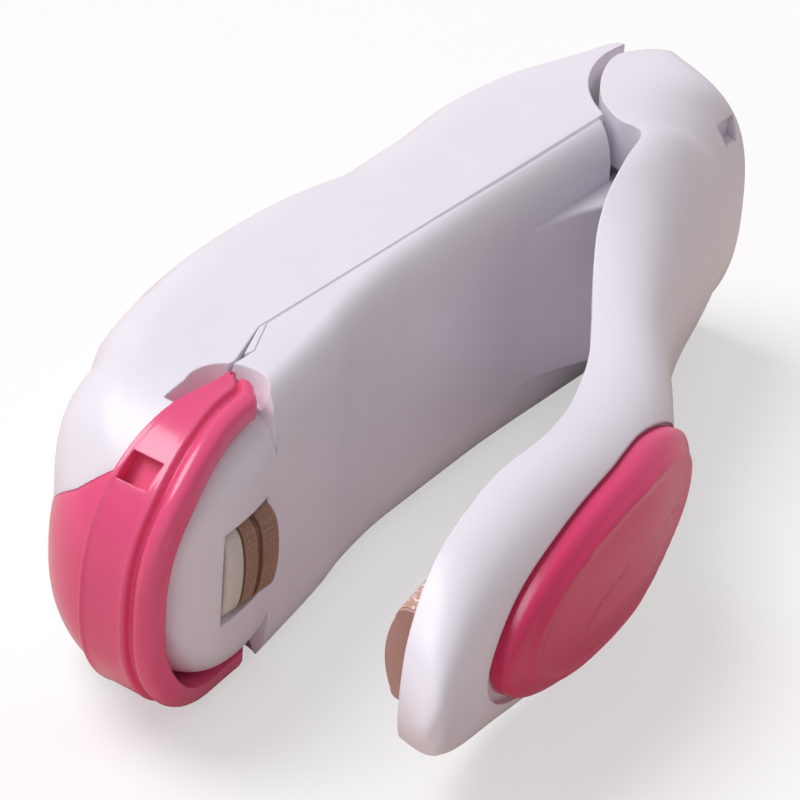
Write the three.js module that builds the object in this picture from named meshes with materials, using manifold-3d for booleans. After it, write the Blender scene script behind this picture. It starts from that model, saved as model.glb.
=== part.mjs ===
// Hand-held mini bag sealer: a two-part case with two round cells, a sprung heater block in
// the nose, a pressing lever on a cross hinge, and a swinging lock visor round the nose.
//
// Millimetres, +Z up. The case lies on one flat side. Y runs from the nose (low) to the
// hinge (high), X from the battery door (low) to the lever (high), and Z across the width.
// The origin is on the flat side that the case rests on.

import * as THREE from 'three';
import { mergeVertices } from 'three/addons/utils/BufferGeometryUtils.js';
import Module from 'manifold-3d';

const wasm = await Module();
wasm.setup();

// Walls and clearances
const wall = 1.8;
const gap = 0.3;
const seat = 0.15;
const overrun = 3;
const weldStep = 1e-4;

// Cells and contacts
const cellRadius = 7.25;
const cellLength = 50.5;
const cellSpacing = 0.7;
const nubRadius = 2.75;
const nubLength = 1;
const contactThick = 0.5;
const contactWidth = 11;
const contactHeight = 10;
const contactSpringLength = 2.6;
const contactSpringRadius = 3.6;
const bulkheadThick = 1.2;

// Room that the case keeps round the cells: in front, behind, in depth and beside them
const frontRoom = 25.35;
const rearRoom = 25.35;
const depthRoom = 16.8;
const doorRim = 2.35;
const baseRound = 8;
const panelRound = 3;

// Nose and lock pivot
const noseReach = 16;
const tubStep = 1.7;
const noseRound = 5;
const pocketRadius = 6.3;
const pocketDepth = 3;
const lockPinRadius = 1.2;

// Hinge, hub and its clearance in the case
const hubRadius = 13;
const lipGap = 1.2;
const coverGap = 2;
const hingePinRadius = 1.5;
const pinInset = 3.4;
const lugRadius = 4.5;
const lugThick = 5;
const lugSpacing = 8;
const rampHeight = 5.5;
const cheekThick = 2.6;

// Heater
const heaterAlong = 8;
const heaterAcross = 11;
const heaterProud = 1.2;
const heaterCrown = 0.9;
const heaterHeight = 8.8;
const heaterFlange = 1.2;
const heaterTravel = 1.2;
const heaterBar = 2.3;
const stripThick = 0.5;
const ribbonWidth = 0.6;
const springRadius = 1.9;
const springWire = 0.7;
const springLength = 4;
const springSpacing = 7;
const leafThick = 0.4;
const leafWidth = 2.4;
const leafSpacing = 1.4;
const leafPostAlong = 2.5;

// Lever
const leverRise = 45;
const leverWall = 1.8;
const padProud = 3.75;
const linerThick = 1.4;
const linerInset = 0.5;
const padAlong = 11.6;
const padAcross = 11.4;
const padAhead = 0.8;
const padRound = 1.2;
const padBow = 0.9;
const clothThick = 0.5;
const thumbLength = 50;
const thumbWidth = 19;
const thumbProud = 2.1;
const thumbEdge = 0.5;
const thumbRecess = 0.8;
const thumbRim = 0.5;

// Visor
const visorGap = 0.5;
const bandThick = 3.3;
const bandWidth = 8;
const beadWidth = 2.4;
const grooveDepth = 0.8;
const domeProud = 2.2;
const domeShift = 4.8;
const domeInset = 1.8;
const visorWindow = 3.4;

// Screws
const screwRadius = 1;
const screwHead = 2.1;
const screwHeadHeight = 1.4;
const screwEngage = 5.6;
const screwSetback = 4.15;
const bossWall = 1.1;

// Sides of the round pieces
const hubSides = 56;
const pinSides = 24;
const postSides = 20;

// Side outlines: along the case as shares of its length, rise as shares of its depth
const baseShares = [
  [0.5094, -0.115], [0.4858, -0.1597], [0.4802, -0.1789], [0.4292, -0.2396],
  [0.3509, -0.3195], [0.2528, -0.345], [0.1717, -0.3163], [0.116, -0.3099],
  [0.0642, -0.3067], [0.0226, -0.3355], [-0.0179, -0.3578], [-0.0651, -0.3674],
  [-0.1142, -0.3674], [-0.166, -0.3578], [-0.2236, -0.3323], [-0.2887, -0.2812],
  [-0.3387, -0.2268], [-0.3774, -0.1693],
];
const panelShares = [
  [0.5094, 0.345], [0.3208, 0.345], [0.1415, 0.345], [0.0472, 0.361],
  [0, 0.3706], [-0.0755, 0.3898], [-0.1509, 0.4345], [-0.1981, 0.4792],
  [-0.2547, 0.5208], [-0.3019, 0.5527], [-0.3396, 0.5783], [-0.3774, 0.6102],
  [-0.4151, 0.6294], [-0.4434, 0.6326], [-0.4717, 0.6134], [-0.4953, 0.5751],
  [-0.5094, 0.5048], [-0.516, 0.4281],
];
const wideStationShares = [
  0.485, 0.475, 0.455, 0.4292, 0.39, 0.3509, 0.3, 0.2528, 0.21, 0.1717, 0.116, 0.0642,
  0.0226, -0.0179, -0.0651, -0.1142, -0.166, -0.2236, -0.26, -0.2887, -0.315, -0.3387,
];
const hingeShare = [0.434, 0.3035];
const lockShare = [-0.3641, 0.4217];
const hubCentreShare = [0.4528, 0.4505];
const seamShare = 0.2556;
const seamFrontShare = 0.3323;
const seamRampShares = [-0.255, -0.32];
const coverRampShares = [-0.245, -0.293];
const coverFrontShare = -0.3396;
const rearTrimShares = [[0.485, -0.17], [0.474, 0.004]];
const rampShares = [0.14, 0.32];
const heaterShare = -0.3962;
const screwAcrossShare = 0.34;

// Arch of the nose: how far along its reach each station lies, with its squareness
const archSquareness = 2.4;
const archStationShares = [0.09, 0.22, 0.36, 0.5, 0.63, 0.75, 0.85, 0.925, 0.97, 0.99];

// Lever: along and rise of the rim, along and rise of the crest, half width, squareness
const leverShares = [
  [-0.0596, -0.1822, -0.083, -0.06, 1, 6],
  [-0.0239, -0.1889, -0.087, 0.04, 1, 5.2],
  [0.0308, -0.16, -0.0912, 0.122, 0.99, 3.5],
  [0.0765, -0.0911, -0.0775, 0.1481, 0.9466, 2.5],
  [0.1014, 0.0022, -0.046, 0.1798, 0.8912, 2],
  [0.1093, 0.1044, -0.0012, 0.2165, 0.8212, 2.1],
  [0.1497, 0.1231, 0.0523, 0.2595, 0.7488, 2.5],
  [0.1974, 0.155, 0.111, 0.3085, 0.6841, 2.9],
  [0.242, 0.1961, 0.1718, 0.3639, 0.631, 2.9],
  [0.2834, 0.2437, 0.2323, 0.429, 0.5974, 2.8],
  [0.328, 0.3041, 0.291, 0.5054, 0.5846, 2.6],
  [0.3678, 0.371, 0.3468, 0.6015, 0.5754, 2.6],
  [0.4344, 0.4696, 0.4051, 0.695, 0.56, 2.5],
  [0.515, 0.5583, 0.4768, 0.7711, 0.5964, 2.6],
  [0.5724, 0.6122, 0.5441, 0.8262, 0.6729, 2.6],
  [0.6327, 0.6531, 0.6104, 0.8573, 0.7337, 2.6],
  [0.7332, 0.6804, 0.7193, 0.8869, 0.7685, 2.6],
  [0.8346, 0.7236, 0.8175, 0.9066, 0.6818, 2.6],
  [0.8856, 0.7543, 0.8889, 0.9268, 0.5494, 2.6],
  [0.9194, 0.7802, 0.9373, 0.948, 0.4127, 2.6],
  [0.9522, 0.8093, 0.9798, 0.9704, 0.2143, 2.6],
  [0.9665, 0.8297, 1.0062, 0.9731, 0.06, 2.6],
];
const leverHollowRows = [1, 19];
const leverHubRows = 5;
const linerRows = [11, 18];
const padRow = 17;
const footSlotShare = 0.72;
const thumbRowShares = [0.385, 0.865];
const notchShares = [[-0.0755, 0.082], [-0.0327, 0.082], [-0.0556, 0.19]];
const notchRiseShares = [0.765, 0.845];

// Visor: along and rise of its side outline, from the arm's end round to the bead
const visorRightShares = [
  [0.17, 0.09], [0.06, 0.2], [-0.05, 0.22], [-0.2, 0.245], [-0.5, 0.32], [-0.8, 0.385], [-1, 0.39],
];
const visorLeftRiseShare = -0.13;
const domeTurnShare = -0.53;
const windowAngleShare = 0.25;
const windowAlongShare = 0.24;

// Colours
const white = 0xf2f0f5;
const pink = 0xe0607f;
const colours = {
  abs: { color: white, roughness: 0.35, metalness: 0 },
  inner: { color: 0xe6e2e4, roughness: 0.5, metalness: 0 },
  pink: { color: pink, roughness: 0.3, metalness: 0 },
  cell: { color: 0x2f6f5a, roughness: 0.4, metalness: 0 },
  steel: { color: 0xb9bcc0, roughness: 0.3, metalness: 1 },
  brass: { color: 0xc9a85c, roughness: 0.35, metalness: 1 },
  ceramic: { color: 0xd8d2cb, roughness: 0.6, metalness: 0 },
  cloth: { color: 0xa57d69, roughness: 0.8, metalness: 0 },
  rubber: { color: 0xc99a8c, roughness: 0.8, metalness: 0 },
};

// The case worked out from the cells inside it
const bayLength = cellLength + contactSpringLength + 2 * contactThick + 4 * gap;
const cellSplit = cellRadius + cellSpacing / 2;
const doorHalf = cellSplit + cellRadius + gap;
const bodyLength = frontRoom + bayLength + rearRoom;
const bodyDepth = 2 * cellRadius + depthRoom;
const bodyWidth = 2 * (doorHalf + doorRim);
const noseWidth = bodyWidth - 2 * pocketDepth;
const hingePinLength = bodyWidth - 2 * pinInset;
const tubReach = noseReach + tubStep;

// Places worked out from the sizes
const middle = bodyWidth / 2;
const hinge = { x: bodyDepth * hingeShare[1], y: bodyLength * hingeShare[0] };
const lock = { x: bodyDepth * lockShare[1], y: bodyLength * lockShare[0] };
const hub = { x: bodyDepth * hubCentreShare[1], y: bodyLength * hubCentreShare[0] };
const seamRise = bodyDepth * seamShare;
const seamFront = bodyDepth * seamFrontShare;
const lipRadius = hubRadius + lipGap;
const coverRadius = hubRadius + coverGap;
const coverFront = bodyLength * coverFrontShare;
const heaterY = bodyLength * heaterShare;
const far = bodyLength;

// Helpers for solids

function toSolid(geometry) {
  const bare = geometry.index ? geometry.toNonIndexed() : geometry.clone();
  bare.deleteAttribute('normal');
  bare.deleteAttribute('uv');
  const merged = mergeVertices(bare, weldStep);
  const index = merged.index.array;
  const place = merged.attributes.position.array;
  const kept = [];
  for (let i = 0; i < index.length; i += 3) {
    const [a, b, c] = [index[i], index[i + 1], index[i + 2]];
    if (a !== b && b !== c && c !== a) kept.push(a, b, c);
  }
  if (signedVolume(place, kept) < 0) {
    for (let i = 0; i < kept.length; i += 3) [kept[i], kept[i + 1]] = [kept[i + 1], kept[i]];
  }
  return new wasm.Manifold(new wasm.Mesh({
    numProp: 3,
    vertProperties: new Float32Array(place),
    triVerts: new Uint32Array(kept),
  }));
}

function signedVolume(place, index) {
  const a = new THREE.Vector3();
  const b = new THREE.Vector3();
  const c = new THREE.Vector3();
  let sum = 0;
  for (let i = 0; i < index.length; i += 3) {
    a.fromArray(place, index[i] * 3);
    b.fromArray(place, index[i + 1] * 3);
    c.fromArray(place, index[i + 2] * 3);
    sum += a.dot(b.cross(c));
  }
  return sum;
}

function toGeometry(solid) {
  const mesh = solid.getMesh();
  const geometry = new THREE.BufferGeometry();
  geometry.setAttribute('position', new THREE.BufferAttribute(mesh.vertProperties.slice(), 3));
  geometry.setIndex(new THREE.BufferAttribute(mesh.triVerts.slice(), 1));
  geometry.computeVertexNormals();
  return geometry;
}

function join(...solids) {
  return solids.reduce((whole, next) => whole.add(next));
}

function cut(solid, ...cutters) {
  return cutters.reduce((rest, next) => rest.subtract(next), solid);
}

// The main body of a cut piece, without slivers
function mainBody(solid) {
  const geometry = toGeometry(solid);
  const index = geometry.index.array;
  const place = geometry.attributes.position.array;
  const owner = Array.from({ length: place.length / 3 }, (_, i) => i);
  const root = (i) => {
    let at = i;
    while (owner[at] !== at) at = owner[at];
    owner[i] = at;
    return at;
  };
  for (let i = 0; i < index.length; i += 3) {
    owner[root(index[i + 1])] = root(index[i]);
    owner[root(index[i + 2])] = root(index[i]);
  }
  const bodies = new Map();
  for (let i = 0; i < index.length; i += 3) {
    const key = root(index[i]);
    if (!bodies.has(key)) bodies.set(key, []);
    bodies.get(key).push(index[i], index[i + 1], index[i + 2]);
  }
  const largest = [...bodies.values()].reduce((big, next) => (
    signedVolume(place, next) > signedVolume(place, big) ? next : big
  ));
  geometry.setIndex(largest);
  return toSolid(geometry);
}

// A prism across the width: outline points are [x, y]
function slab(points, z0, z1) {
  const shape = new THREE.Shape(points.map(([x, y]) => new THREE.Vector2(x, y)));
  const geometry = new THREE.ExtrudeGeometry(shape, {
    depth: z1 - z0,
    bevelEnabled: false,
    curveSegments: 1,
  });
  geometry.translate(0, 0, z0);
  return toSolid(geometry);
}

// A prism along the case: outline points are [x, z]
function slabAlong(points, y0, y1) {
  const shape = new THREE.Shape(points.map(([x, z]) => new THREE.Vector2(x, z)));
  const geometry = new THREE.ExtrudeGeometry(shape, {
    depth: y1 - y0,
    bevelEnabled: false,
    curveSegments: 1,
  });
  geometry.rotateX(Math.PI / 2);
  geometry.translate(0, y1, 0);
  return toSolid(geometry);
}

function box(x0, x1, y0, y1, z0, z1) {
  const geometry = new THREE.BoxGeometry(x1 - x0, y1 - y0, z1 - z0);
  geometry.translate((x0 + x1) / 2, (y0 + y1) / 2, (z0 + z1) / 2);
  return toSolid(geometry);
}

// A round bar across the width
function bar(x, y, radius, z0, z1, sides = pinSides) {
  const geometry = new THREE.CylinderGeometry(radius, radius, z1 - z0, sides);
  geometry.rotateX(Math.PI / 2);
  geometry.translate(x, y, (z0 + z1) / 2);
  return toSolid(geometry);
}

// A round post that stands up from the battery side
function post(y, z, radius, x0, x1, sides = postSides) {
  const geometry = new THREE.CylinderGeometry(radius, radius, x1 - x0, sides);
  geometry.rotateZ(-Math.PI / 2);
  geometry.translate((x0 + x1) / 2, y, z);
  return toSolid(geometry);
}

// A turned piece: profile points are [radius, height] and close on the axis or on themselves
function turned(profile, sides) {
  const points = profile.map(([r, h]) => new THREE.Vector2(r, h));
  return new THREE.LatheGeometry(points, sides);
}

// A skin over closed rings of Vector3, with flat ends
function skin(rings) {
  const count = rings[0].length;
  const place = [];
  const index = [];
  rings.forEach((ring) => ring.forEach((p) => place.push(p.x, p.y, p.z)));
  for (let r = 0; r < rings.length - 1; r += 1) {
    for (let i = 0; i < count; i += 1) {
      const a = r * count + i;
      const b = r * count + ((i + 1) % count);
      index.push(a, b, a + count);
      index.push(b, b + count, a + count);
    }
  }
  capRing(rings[0]).forEach(([a, b, c]) => index.push(a, c, b));
  const last = (rings.length - 1) * count;
  capRing(rings[rings.length - 1]).forEach(([a, b, c]) => index.push(last + a, last + b, last + c));
  const geometry = new THREE.BufferGeometry();
  geometry.setAttribute('position', new THREE.Float32BufferAttribute(place, 3));
  geometry.setIndex(index);
  return toSolid(geometry);
}

// Triangles of a flat ring, turned the way its points run
function capRing(ring) {
  const normal = new THREE.Vector3();
  ring.forEach((p, i) => {
    const q = ring[(i + 1) % ring.length];
    normal.x += (p.y - q.y) * (p.z + q.z);
    normal.y += (p.z - q.z) * (p.x + q.x);
    normal.z += (p.x - q.x) * (p.y + q.y);
  });
  normal.normalize();
  const across = new THREE.Vector3().subVectors(ring[1], ring[0]).normalize();
  const up = new THREE.Vector3().crossVectors(normal, across);
  const flat = ring.map((p) => new THREE.Vector2(p.dot(across), p.dot(up)));
  return THREE.ShapeUtils.triangulateShape(flat, []);
}

// A smooth value through rows of [place, value], places falling
function through(rows, at) {
  const last = rows.length - 1;
  if (at >= rows[0][0]) return rows[0][1];
  if (at <= rows[last][0]) return rows[last][1];
  const i = rows.findIndex((row) => row[0] < at) - 1;
  const slope = (k) => {
    const a = Math.max(k - 1, 0);
    const b = Math.min(k + 1, last);
    return (rows[b][1] - rows[a][1]) / (rows[b][0] - rows[a][0]);
  };
  const step = rows[i + 1][0] - rows[i][0];
  const t = (at - rows[i][0]) / step;
  const keep = (1 + 2 * t) * (1 - t) ** 2;
  return keep * rows[i][1] + t * (1 - t) ** 2 * step * slope(i)
    + (1 - keep) * rows[i + 1][1] + t ** 2 * (t - 1) * step * slope(i + 1);
}

// How wide an arch still is at a share of its reach
function archShare(share) {
  const rest = 1 - Math.min(Math.max(share, 0), 1) ** archSquareness;
  return rest ** (1 / archSquareness);
}

// Side outlines of the case in millimetres
function arcAt(y, reach) {
  const run = Math.min(Math.abs(y - lock.y), reach);
  return lock.x - Math.sqrt(reach ** 2 - run ** 2);
}

function baseAt(y) {
  const share = y / bodyLength;
  const drawnEnd = baseShares[baseShares.length - 1][0];
  return share < drawnEnd ? arcAt(y, tubReach) : bodyDepth * through(baseShares, share);
}

function panelAt(y) {
  return bodyDepth * through(panelShares, y / bodyLength);
}

// A ring across the case with rounded corners on its two faces
function caseRing(y, x0, x1, half, round0, round1) {
  const r0 = Math.max(Math.min(round0, (x1 - x0) / 2.2, half * 0.9), weldStep * 100);
  const r1 = Math.max(Math.min(round1, (x1 - x0) / 2.2, half * 0.9), weldStep * 100);
  const corners = [
    [x0 + r0, middle - half + r0, r0, Math.PI],
    [x0 + r0, middle + half - r0, r0, Math.PI / 2],
    [x1 - r1, middle + half - r1, r1, 0],
    [x1 - r1, middle - half + r1, r1, -Math.PI / 2],
  ];
  const order = [corners[3], corners[2], corners[1], corners[0]];
  const steps = 4;
  const ring = [];
  order.forEach(([x, z, r, turn]) => {
    for (let k = 0; k <= steps; k += 1) {
      const a = turn + (k / steps) * (Math.PI / 2);
      ring.push(new THREE.Vector3(x + r * Math.cos(a), y, z + r * Math.sin(a)));
    }
  });
  return ring;
}

// The full-width case, drawn in by an inset, with the arch of the battery side in front
function wideCase(inset) {
  const half = middle - inset;
  const reach = tubReach - inset;
  const rings = wideStationShares.map((share) => {
    const y = Math.min(bodyLength * share, bodyLength * wideStationShares[0] - inset);
    return caseRing(
      y, baseAt(y) + inset, panelAt(y) - inset, half, baseRound - inset, panelRound - inset / 2,
    );
  });
  archStationShares.forEach((share) => {
    const y = lock.y - share * reach;
    rings.push(caseRing(
      y, baseAt(y) + inset, panelAt(y) - inset, half * archShare(share),
      baseRound - inset, panelRound,
    ));
  });
  return skin(rings);
}

// The narrower nose under the visor
function nose(inset) {
  const half = noseWidth / 2 - inset;
  const reach = noseReach - inset;
  const start = coverFront + pocketRadius;
  const rings = [start, (start + lock.y) / 2, lock.y].map((y) => caseRing(
    y, arcAt(lock.y, noseReach) + noseReach / 2, panelAt(y) - inset, half,
    noseRound / 2, noseRound - inset,
  ));
  archStationShares.forEach((share) => {
    const y = lock.y - share * reach;
    const low = Math.max(arcAt(y, noseReach) + inset, lock.x - noseReach / 2);
    rings.push(caseRing(
      y, low, panelAt(y) - inset, half * archShare(share), noseRound / 2, noseRound - inset,
    ));
  });
  return skin(rings);
}

// Outlines that part the case along its seam
const lowSide = -bodyDepth;
const highSide = 2 * bodyDepth;
const tubOutline = [
  [lowSide, -far],
  [seamFront, -far],
  [seamFront, bodyLength * seamRampShares[1]],
  [seamRise, bodyLength * seamRampShares[0]],
  [seamRise, bodyLength * rearTrimShares[1][0] - overrun],
  [bodyDepth * rearTrimShares[1][1], bodyLength * rearTrimShares[1][0]],
  [bodyDepth * rearTrimShares[0][1], bodyLength * rearTrimShares[0][0]],
  [lowSide, bodyLength * rearTrimShares[0][0]],
];
const coverOutline = [
  [highSide, coverFront],
  [highSide, hub.y],
  [seamRise + gap, hub.y],
  [seamRise + gap, bodyLength * coverRampShares[0]],
  [seamFront + gap, bodyLength * coverRampShares[1]],
  [seamFront + gap, coverFront],
];
const wholeWidth = [-overrun, bodyWidth + overrun];

// Round pockets in both sides, where the visor's arms turn
function pockets(extra) {
  const low = pocketDepth + extra;
  return [
    bar(lock.x, lock.y, pocketRadius + extra, bodyWidth - low, bodyWidth + overrun, 28),
    bar(lock.x, lock.y, pocketRadius + extra, -overrun, low, 28),
  ];
}

const hubClear = bar(hub.x, hub.y, lipRadius, ...wholeWidth, hubSides);
const rearClear = bar(hub.x, hub.y, coverRadius, ...wholeWidth, hubSides);
const hubWall = bar(hub.x, hub.y, lipRadius + wall, ...wholeWidth, hubSides);
const wideOuter = wideCase(0);
const wideInner = wideCase(wall);
const noseOuter = nose(0);
const noseInner = nose(wall);

// Bay for the cells
const bayY = (frontRoom - rearRoom) / 2;
const bayFront = bayY - bayLength / 2;
const bayRear = bayY + bayLength / 2;
const bayStations = [0, 0.2, 0.4, 0.6, 0.8, 1].map((share) => bayFront + share * bayLength);
const bayFloor = Math.max(...bayStations.map(baseAt)) + wall;
const cellX = bayFloor + gap + cellRadius;
const doorRear = bayRear - gap;
const doorFront = bayFront + gap;

// Heater places
const heaterTop = panelAt(heaterY) + heaterProud;
const heaterFoot = heaterTop - heaterHeight;
const heaterFace = heaterTop - stripThick - seat;
const springTop = heaterFoot - heaterTravel - seat;
const springFoot = springTop - springLength;
const springPost = springFoot - seat;
const springReach = springSpacing / 2;
const leafTop = heaterFoot - heaterTravel - 2 * seat - gap;
const leafY = heaterY + heaterAlong / 2 + leafPostAlong * 2;

// Screw places in the case
const screwPlaces = [bayRear + screwSetback, bayFront - screwSetback].flatMap((y) => [
  { y, z: middle - bodyWidth * screwAcrossShare },
  { y, z: middle + bodyWidth * screwAcrossShare },
]);
const screwSeat = seamRise - screwEngage;
const bossRadius = screwHead + gap + bossWall;
const coverBoss = screwRadius + gap + bossWall;

function baseTub() {
  const cavityOutline = [
    [lowSide, -far],
    [seamFront - wall, -far],
    [seamFront - wall, coverFront + wall],
    [highSide, coverFront + wall],
    [highSide, far],
    [lowSide, far],
  ];
  const cavity = cut(
    wideInner.intersect(slab(cavityOutline, ...wholeWidth)),
    hubWall,
    ...pockets(wall),
  );
  const noseWell = noseInner.intersect(box(
    lock.x - noseReach / 2, highSide, lock.y - noseReach, coverFront + wall + overrun,
    ...wholeWidth,
  ));
  let tub = cut(
    wideOuter.intersect(slab(tubOutline, ...wholeWidth)),
    cavity,
    noseWell,
    hubClear,
    ...pockets(0),
  );
  const bulkheadTop = cellX + cellRadius;
  const inside = wideCase(wall / 2);
  const bulkheads = [
    box(lowSide, bulkheadTop, bayFront - bulkheadThick, bayFront, ...wholeWidth),
    box(lowSide, bulkheadTop, bayRear, bayRear + bulkheadThick, ...wholeWidth),
  ].map((piece) => piece.intersect(inside));
  const wireWay = box(
    bulkheadTop - cellRadius / 3, highSide, bayFront - overrun, bayRear + overrun,
    middle - cellRadius / 2, middle + cellRadius / 2,
  );
  const bosses = screwPlaces.map(({ y, z }) => (
    post(y, z, bossRadius, lowSide, seamRise).intersect(inside)
  ));
  const springPosts = [-springReach, springReach].map((side) => (
    post(heaterY, middle + side, springRadius, lowSide, springPost).intersect(inside)
  ));
  const leafPost = cut(
    box(
      lowSide, leafTop + leafThick + gap, leafY, leafY + leafPostAlong,
      middle - leafWidth, middle + leafWidth,
    ).intersect(inside),
    ...leafSlots(),
  );
  tub = join(tub, ...bulkheads.map((piece) => cut(piece, wireWay)));
  tub = join(tub, ...bosses, ...springPosts, leafPost);
  const doorway = box(
    lowSide, cellX, doorFront - gap, doorRear + gap,
    middle - doorHalf - gap, middle + doorHalf + gap,
  );
  const holes = screwPlaces.flatMap(({ y, z }) => [
    post(y, z, screwRadius + gap, lowSide, highSide),
    post(y, z, screwHead + gap, lowSide, screwSeat),
  ]);
  return cut(tub, doorway, ...holes);
}

function leafSlots() {
  return [leafTop, leafTop - leafSpacing].map((x) => box(
    x - seat, x + leafThick + seat, leafY - overrun, leafY + leafPostAlong + overrun,
    middle - leafWidth / 2 - seat, middle + leafWidth / 2 + seat,
  ));
}

function batteryDoor() {
  const shell = cut(wideOuter, wideInner);
  return shell.intersect(box(
    lowSide, cellX, doorFront, doorRear, middle - doorHalf, middle + doorHalf,
  ));
}

// The raised ramp behind the panel and the two lugs that carry the hinge pin
const rampTop = panelAt(bodyLength * rampShares[1]) + rampHeight;
const rampHalf = lugSpacing / 2 + lugThick;
function hingeLugs() {
  const startY = bodyLength * rampShares[0];
  const endY = bodyLength * rampShares[1];
  const foot = seamRise + 2 * gap;
  const rise = [];
  const rises = 7;
  for (let i = 0; i <= rises; i += 1) {
    const y = startY + (endY - startY) * (i / rises);
    rise.push([panelAt(y) - seat + (rampHeight + seat) * (i / rises) ** 2, y]);
  }
  const ramp = slab(
    [[foot, startY], ...rise, [foot, endY]], middle - rampHalf, middle + rampHalf,
  );
  const arc = [];
  const steps = 12;
  for (let i = 0; i <= steps; i += 1) {
    const a = (-0.03 + (i / steps) * 1.13) * Math.PI;
    arc.push([hinge.x + lugRadius * Math.cos(a), hinge.y + lugRadius * Math.sin(a)]);
  }
  const outline = [[foot, endY - wall], [rampTop, endY - wall], [rampTop, endY + gap], ...arc,
    [foot, endY + lugRadius]];
  const lugs = [-1, 1].map((side) => {
    const inner = middle + (side * lugSpacing) / 2;
    const outer = middle + side * rampHalf;
    return slab(outline, Math.min(inner, outer), Math.max(inner, outer));
  });
  return join(ramp, ...lugs);
}

function topCover() {
  const wide = wideOuter.intersect(slab(coverOutline, ...wholeWidth));
  const front = noseOuter.intersect(box(
    seamFront + gap, highSide, -far, coverFront + wall, ...wholeWidth,
  ));
  const inside = wideInner.intersect(box(
    lowSide, highSide, coverFront + wall, far, ...wholeWidth,
  ));
  const roundWall = bar(hub.x, hub.y, coverRadius + wall, ...wholeWidth, hubSides);
  const cavity = cut(inside, roundWall, ...pockets(wall));
  const noseCavity = noseInner.intersect(box(
    lowSide, highSide, -far, coverFront + wall + seat, ...wholeWidth,
  ));
  const shell = cut(join(cut(wide, rearClear), front), cavity, noseCavity, ...pockets(0));
  const bosses = screwPlaces.map(({ y, z }) => (
    post(y, z, coverBoss, seamRise + gap, panelAt(y) - wall / 2)
      .intersect(slab(coverOutline, ...wholeWidth))
  ));
  const pins = [
    bar(lock.x, lock.y, lockPinRadius, bodyWidth - pocketDepth - wall / 2, bodyWidth - gap, 20),
    bar(lock.x, lock.y, lockPinRadius, gap, pocketDepth + wall / 2, 20),
  ];
  const window = box(
    heaterFoot - heaterFlange, highSide,
    heaterY - heaterAlong / 2 - gap, heaterY + heaterAlong / 2 + gap,
    middle - heaterAcross / 2 - gap, middle + heaterAcross / 2 + gap,
  );
  const pinHole = bar(hinge.x, hinge.y, hingePinRadius + gap, ...wholeWidth, pinSides);
  const screwHoles = screwPlaces.map(({ y, z }) => (
    post(y, z, screwRadius + gap, lowSide, panelAt(y) - wall / 2)
  ));
  const body = join(shell, ...bosses, ...pins, hingeLugs());
  return cut(body, window, pinHole, ...screwHoles);
}

// Cells stand along the case, heads in turn to the front and to the rear
function cell(side) {
  const length = cellLength - nubLength;
  const edge = cellRadius / 12;
  const geometry = turned([
    [0, 0], [cellRadius - edge, 0], [cellRadius, edge], [cellRadius, length - edge],
    [cellRadius - edge, length], [nubRadius, length], [nubRadius, cellLength], [0, cellLength],
  ], 32);
  const shift = (side * contactSpringLength) / 2;
  geometry.translate(0, -cellLength / 2, 0);
  if (side < 0) geometry.rotateX(Math.PI);
  geometry.translate(cellX, bayY + shift, middle + side * cellSplit);
  return toSolid(geometry);
}

function contactSpring(side) {
  const base = contactSpringLength - 2 * seat;
  const thin = contactThick;
  const geometry = turned([
    [contactSpringRadius - thin, 0], [contactSpringRadius, 0],
    [contactSpringRadius * 0.7, base], [contactSpringRadius * 0.7 - thin, base],
    [contactSpringRadius - thin, 0],
  ], 24);
  if (side > 0) geometry.rotateX(Math.PI);
  const wallFace = side > 0 ? bayRear - contactThick - gap : bayFront + contactThick + gap;
  geometry.translate(cellX, wallFace - side * seat, middle - side * cellSplit);
  return toSolid(geometry);
}

function contactPlate(y, z, across) {
  return box(
    cellX - contactHeight / 2, cellX + contactHeight / 2, y, y + contactThick,
    z - across / 2, z + across / 2,
  );
}

// Heater block with its crowned top, flange, stubs and centre button
function crown(x, half, drop) {
  const steps = 8;
  const points = [];
  for (let i = 0; i <= steps; i += 1) {
    const share = (2 * i) / steps - 1;
    points.push([x - drop * share ** 2, middle + half * share]);
  }
  return points;
}

function heaterBlock() {
  const half = heaterAcross / 2;
  const front = heaterY - heaterAlong / 2;
  const rear = heaterY + heaterAlong / 2;
  const under = heaterFoot + heaterFlange;
  const body = slabAlong(
    [[under, middle - half], ...crown(heaterFace, half, heaterCrown), [under, middle + half]],
    front, rear,
  );
  const rim = slabAlong(
    [[under, middle - half], ...crown(heaterTop, half, heaterCrown), [under, middle + half]],
    front, front + heaterBar,
  );
  const flange = box(
    heaterFoot, under + seat, front - heaterFlange, rear + heaterFlange,
    middle - half - heaterFlange, middle + half + heaterFlange,
  );
  const stubRadius = springRadius - springWire - gap;
  const stubs = [-springReach, springReach].map((side) => (
    post(heaterY, middle + side, stubRadius, springTop - heaterTravel, heaterFoot + seat, 16)
  ));
  return join(body, rim, flange, ...stubs);
}

// Cloth strips on the block, with the wire ribbon in the gap between them
const stripFront = heaterY - heaterAlong / 2 + heaterBar + gap;
const stripRear = heaterY + heaterAlong / 2;
const ribbonY = stripFront + (stripRear - stripFront) * 0.38;
function crownSheet(y0, y1, under, over) {
  const half = heaterAcross / 2;
  const top = crown(over, half, heaterCrown);
  const foot = crown(under, half, heaterCrown).reverse();
  return slabAlong([...foot, ...top], y0, y1);
}

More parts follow.
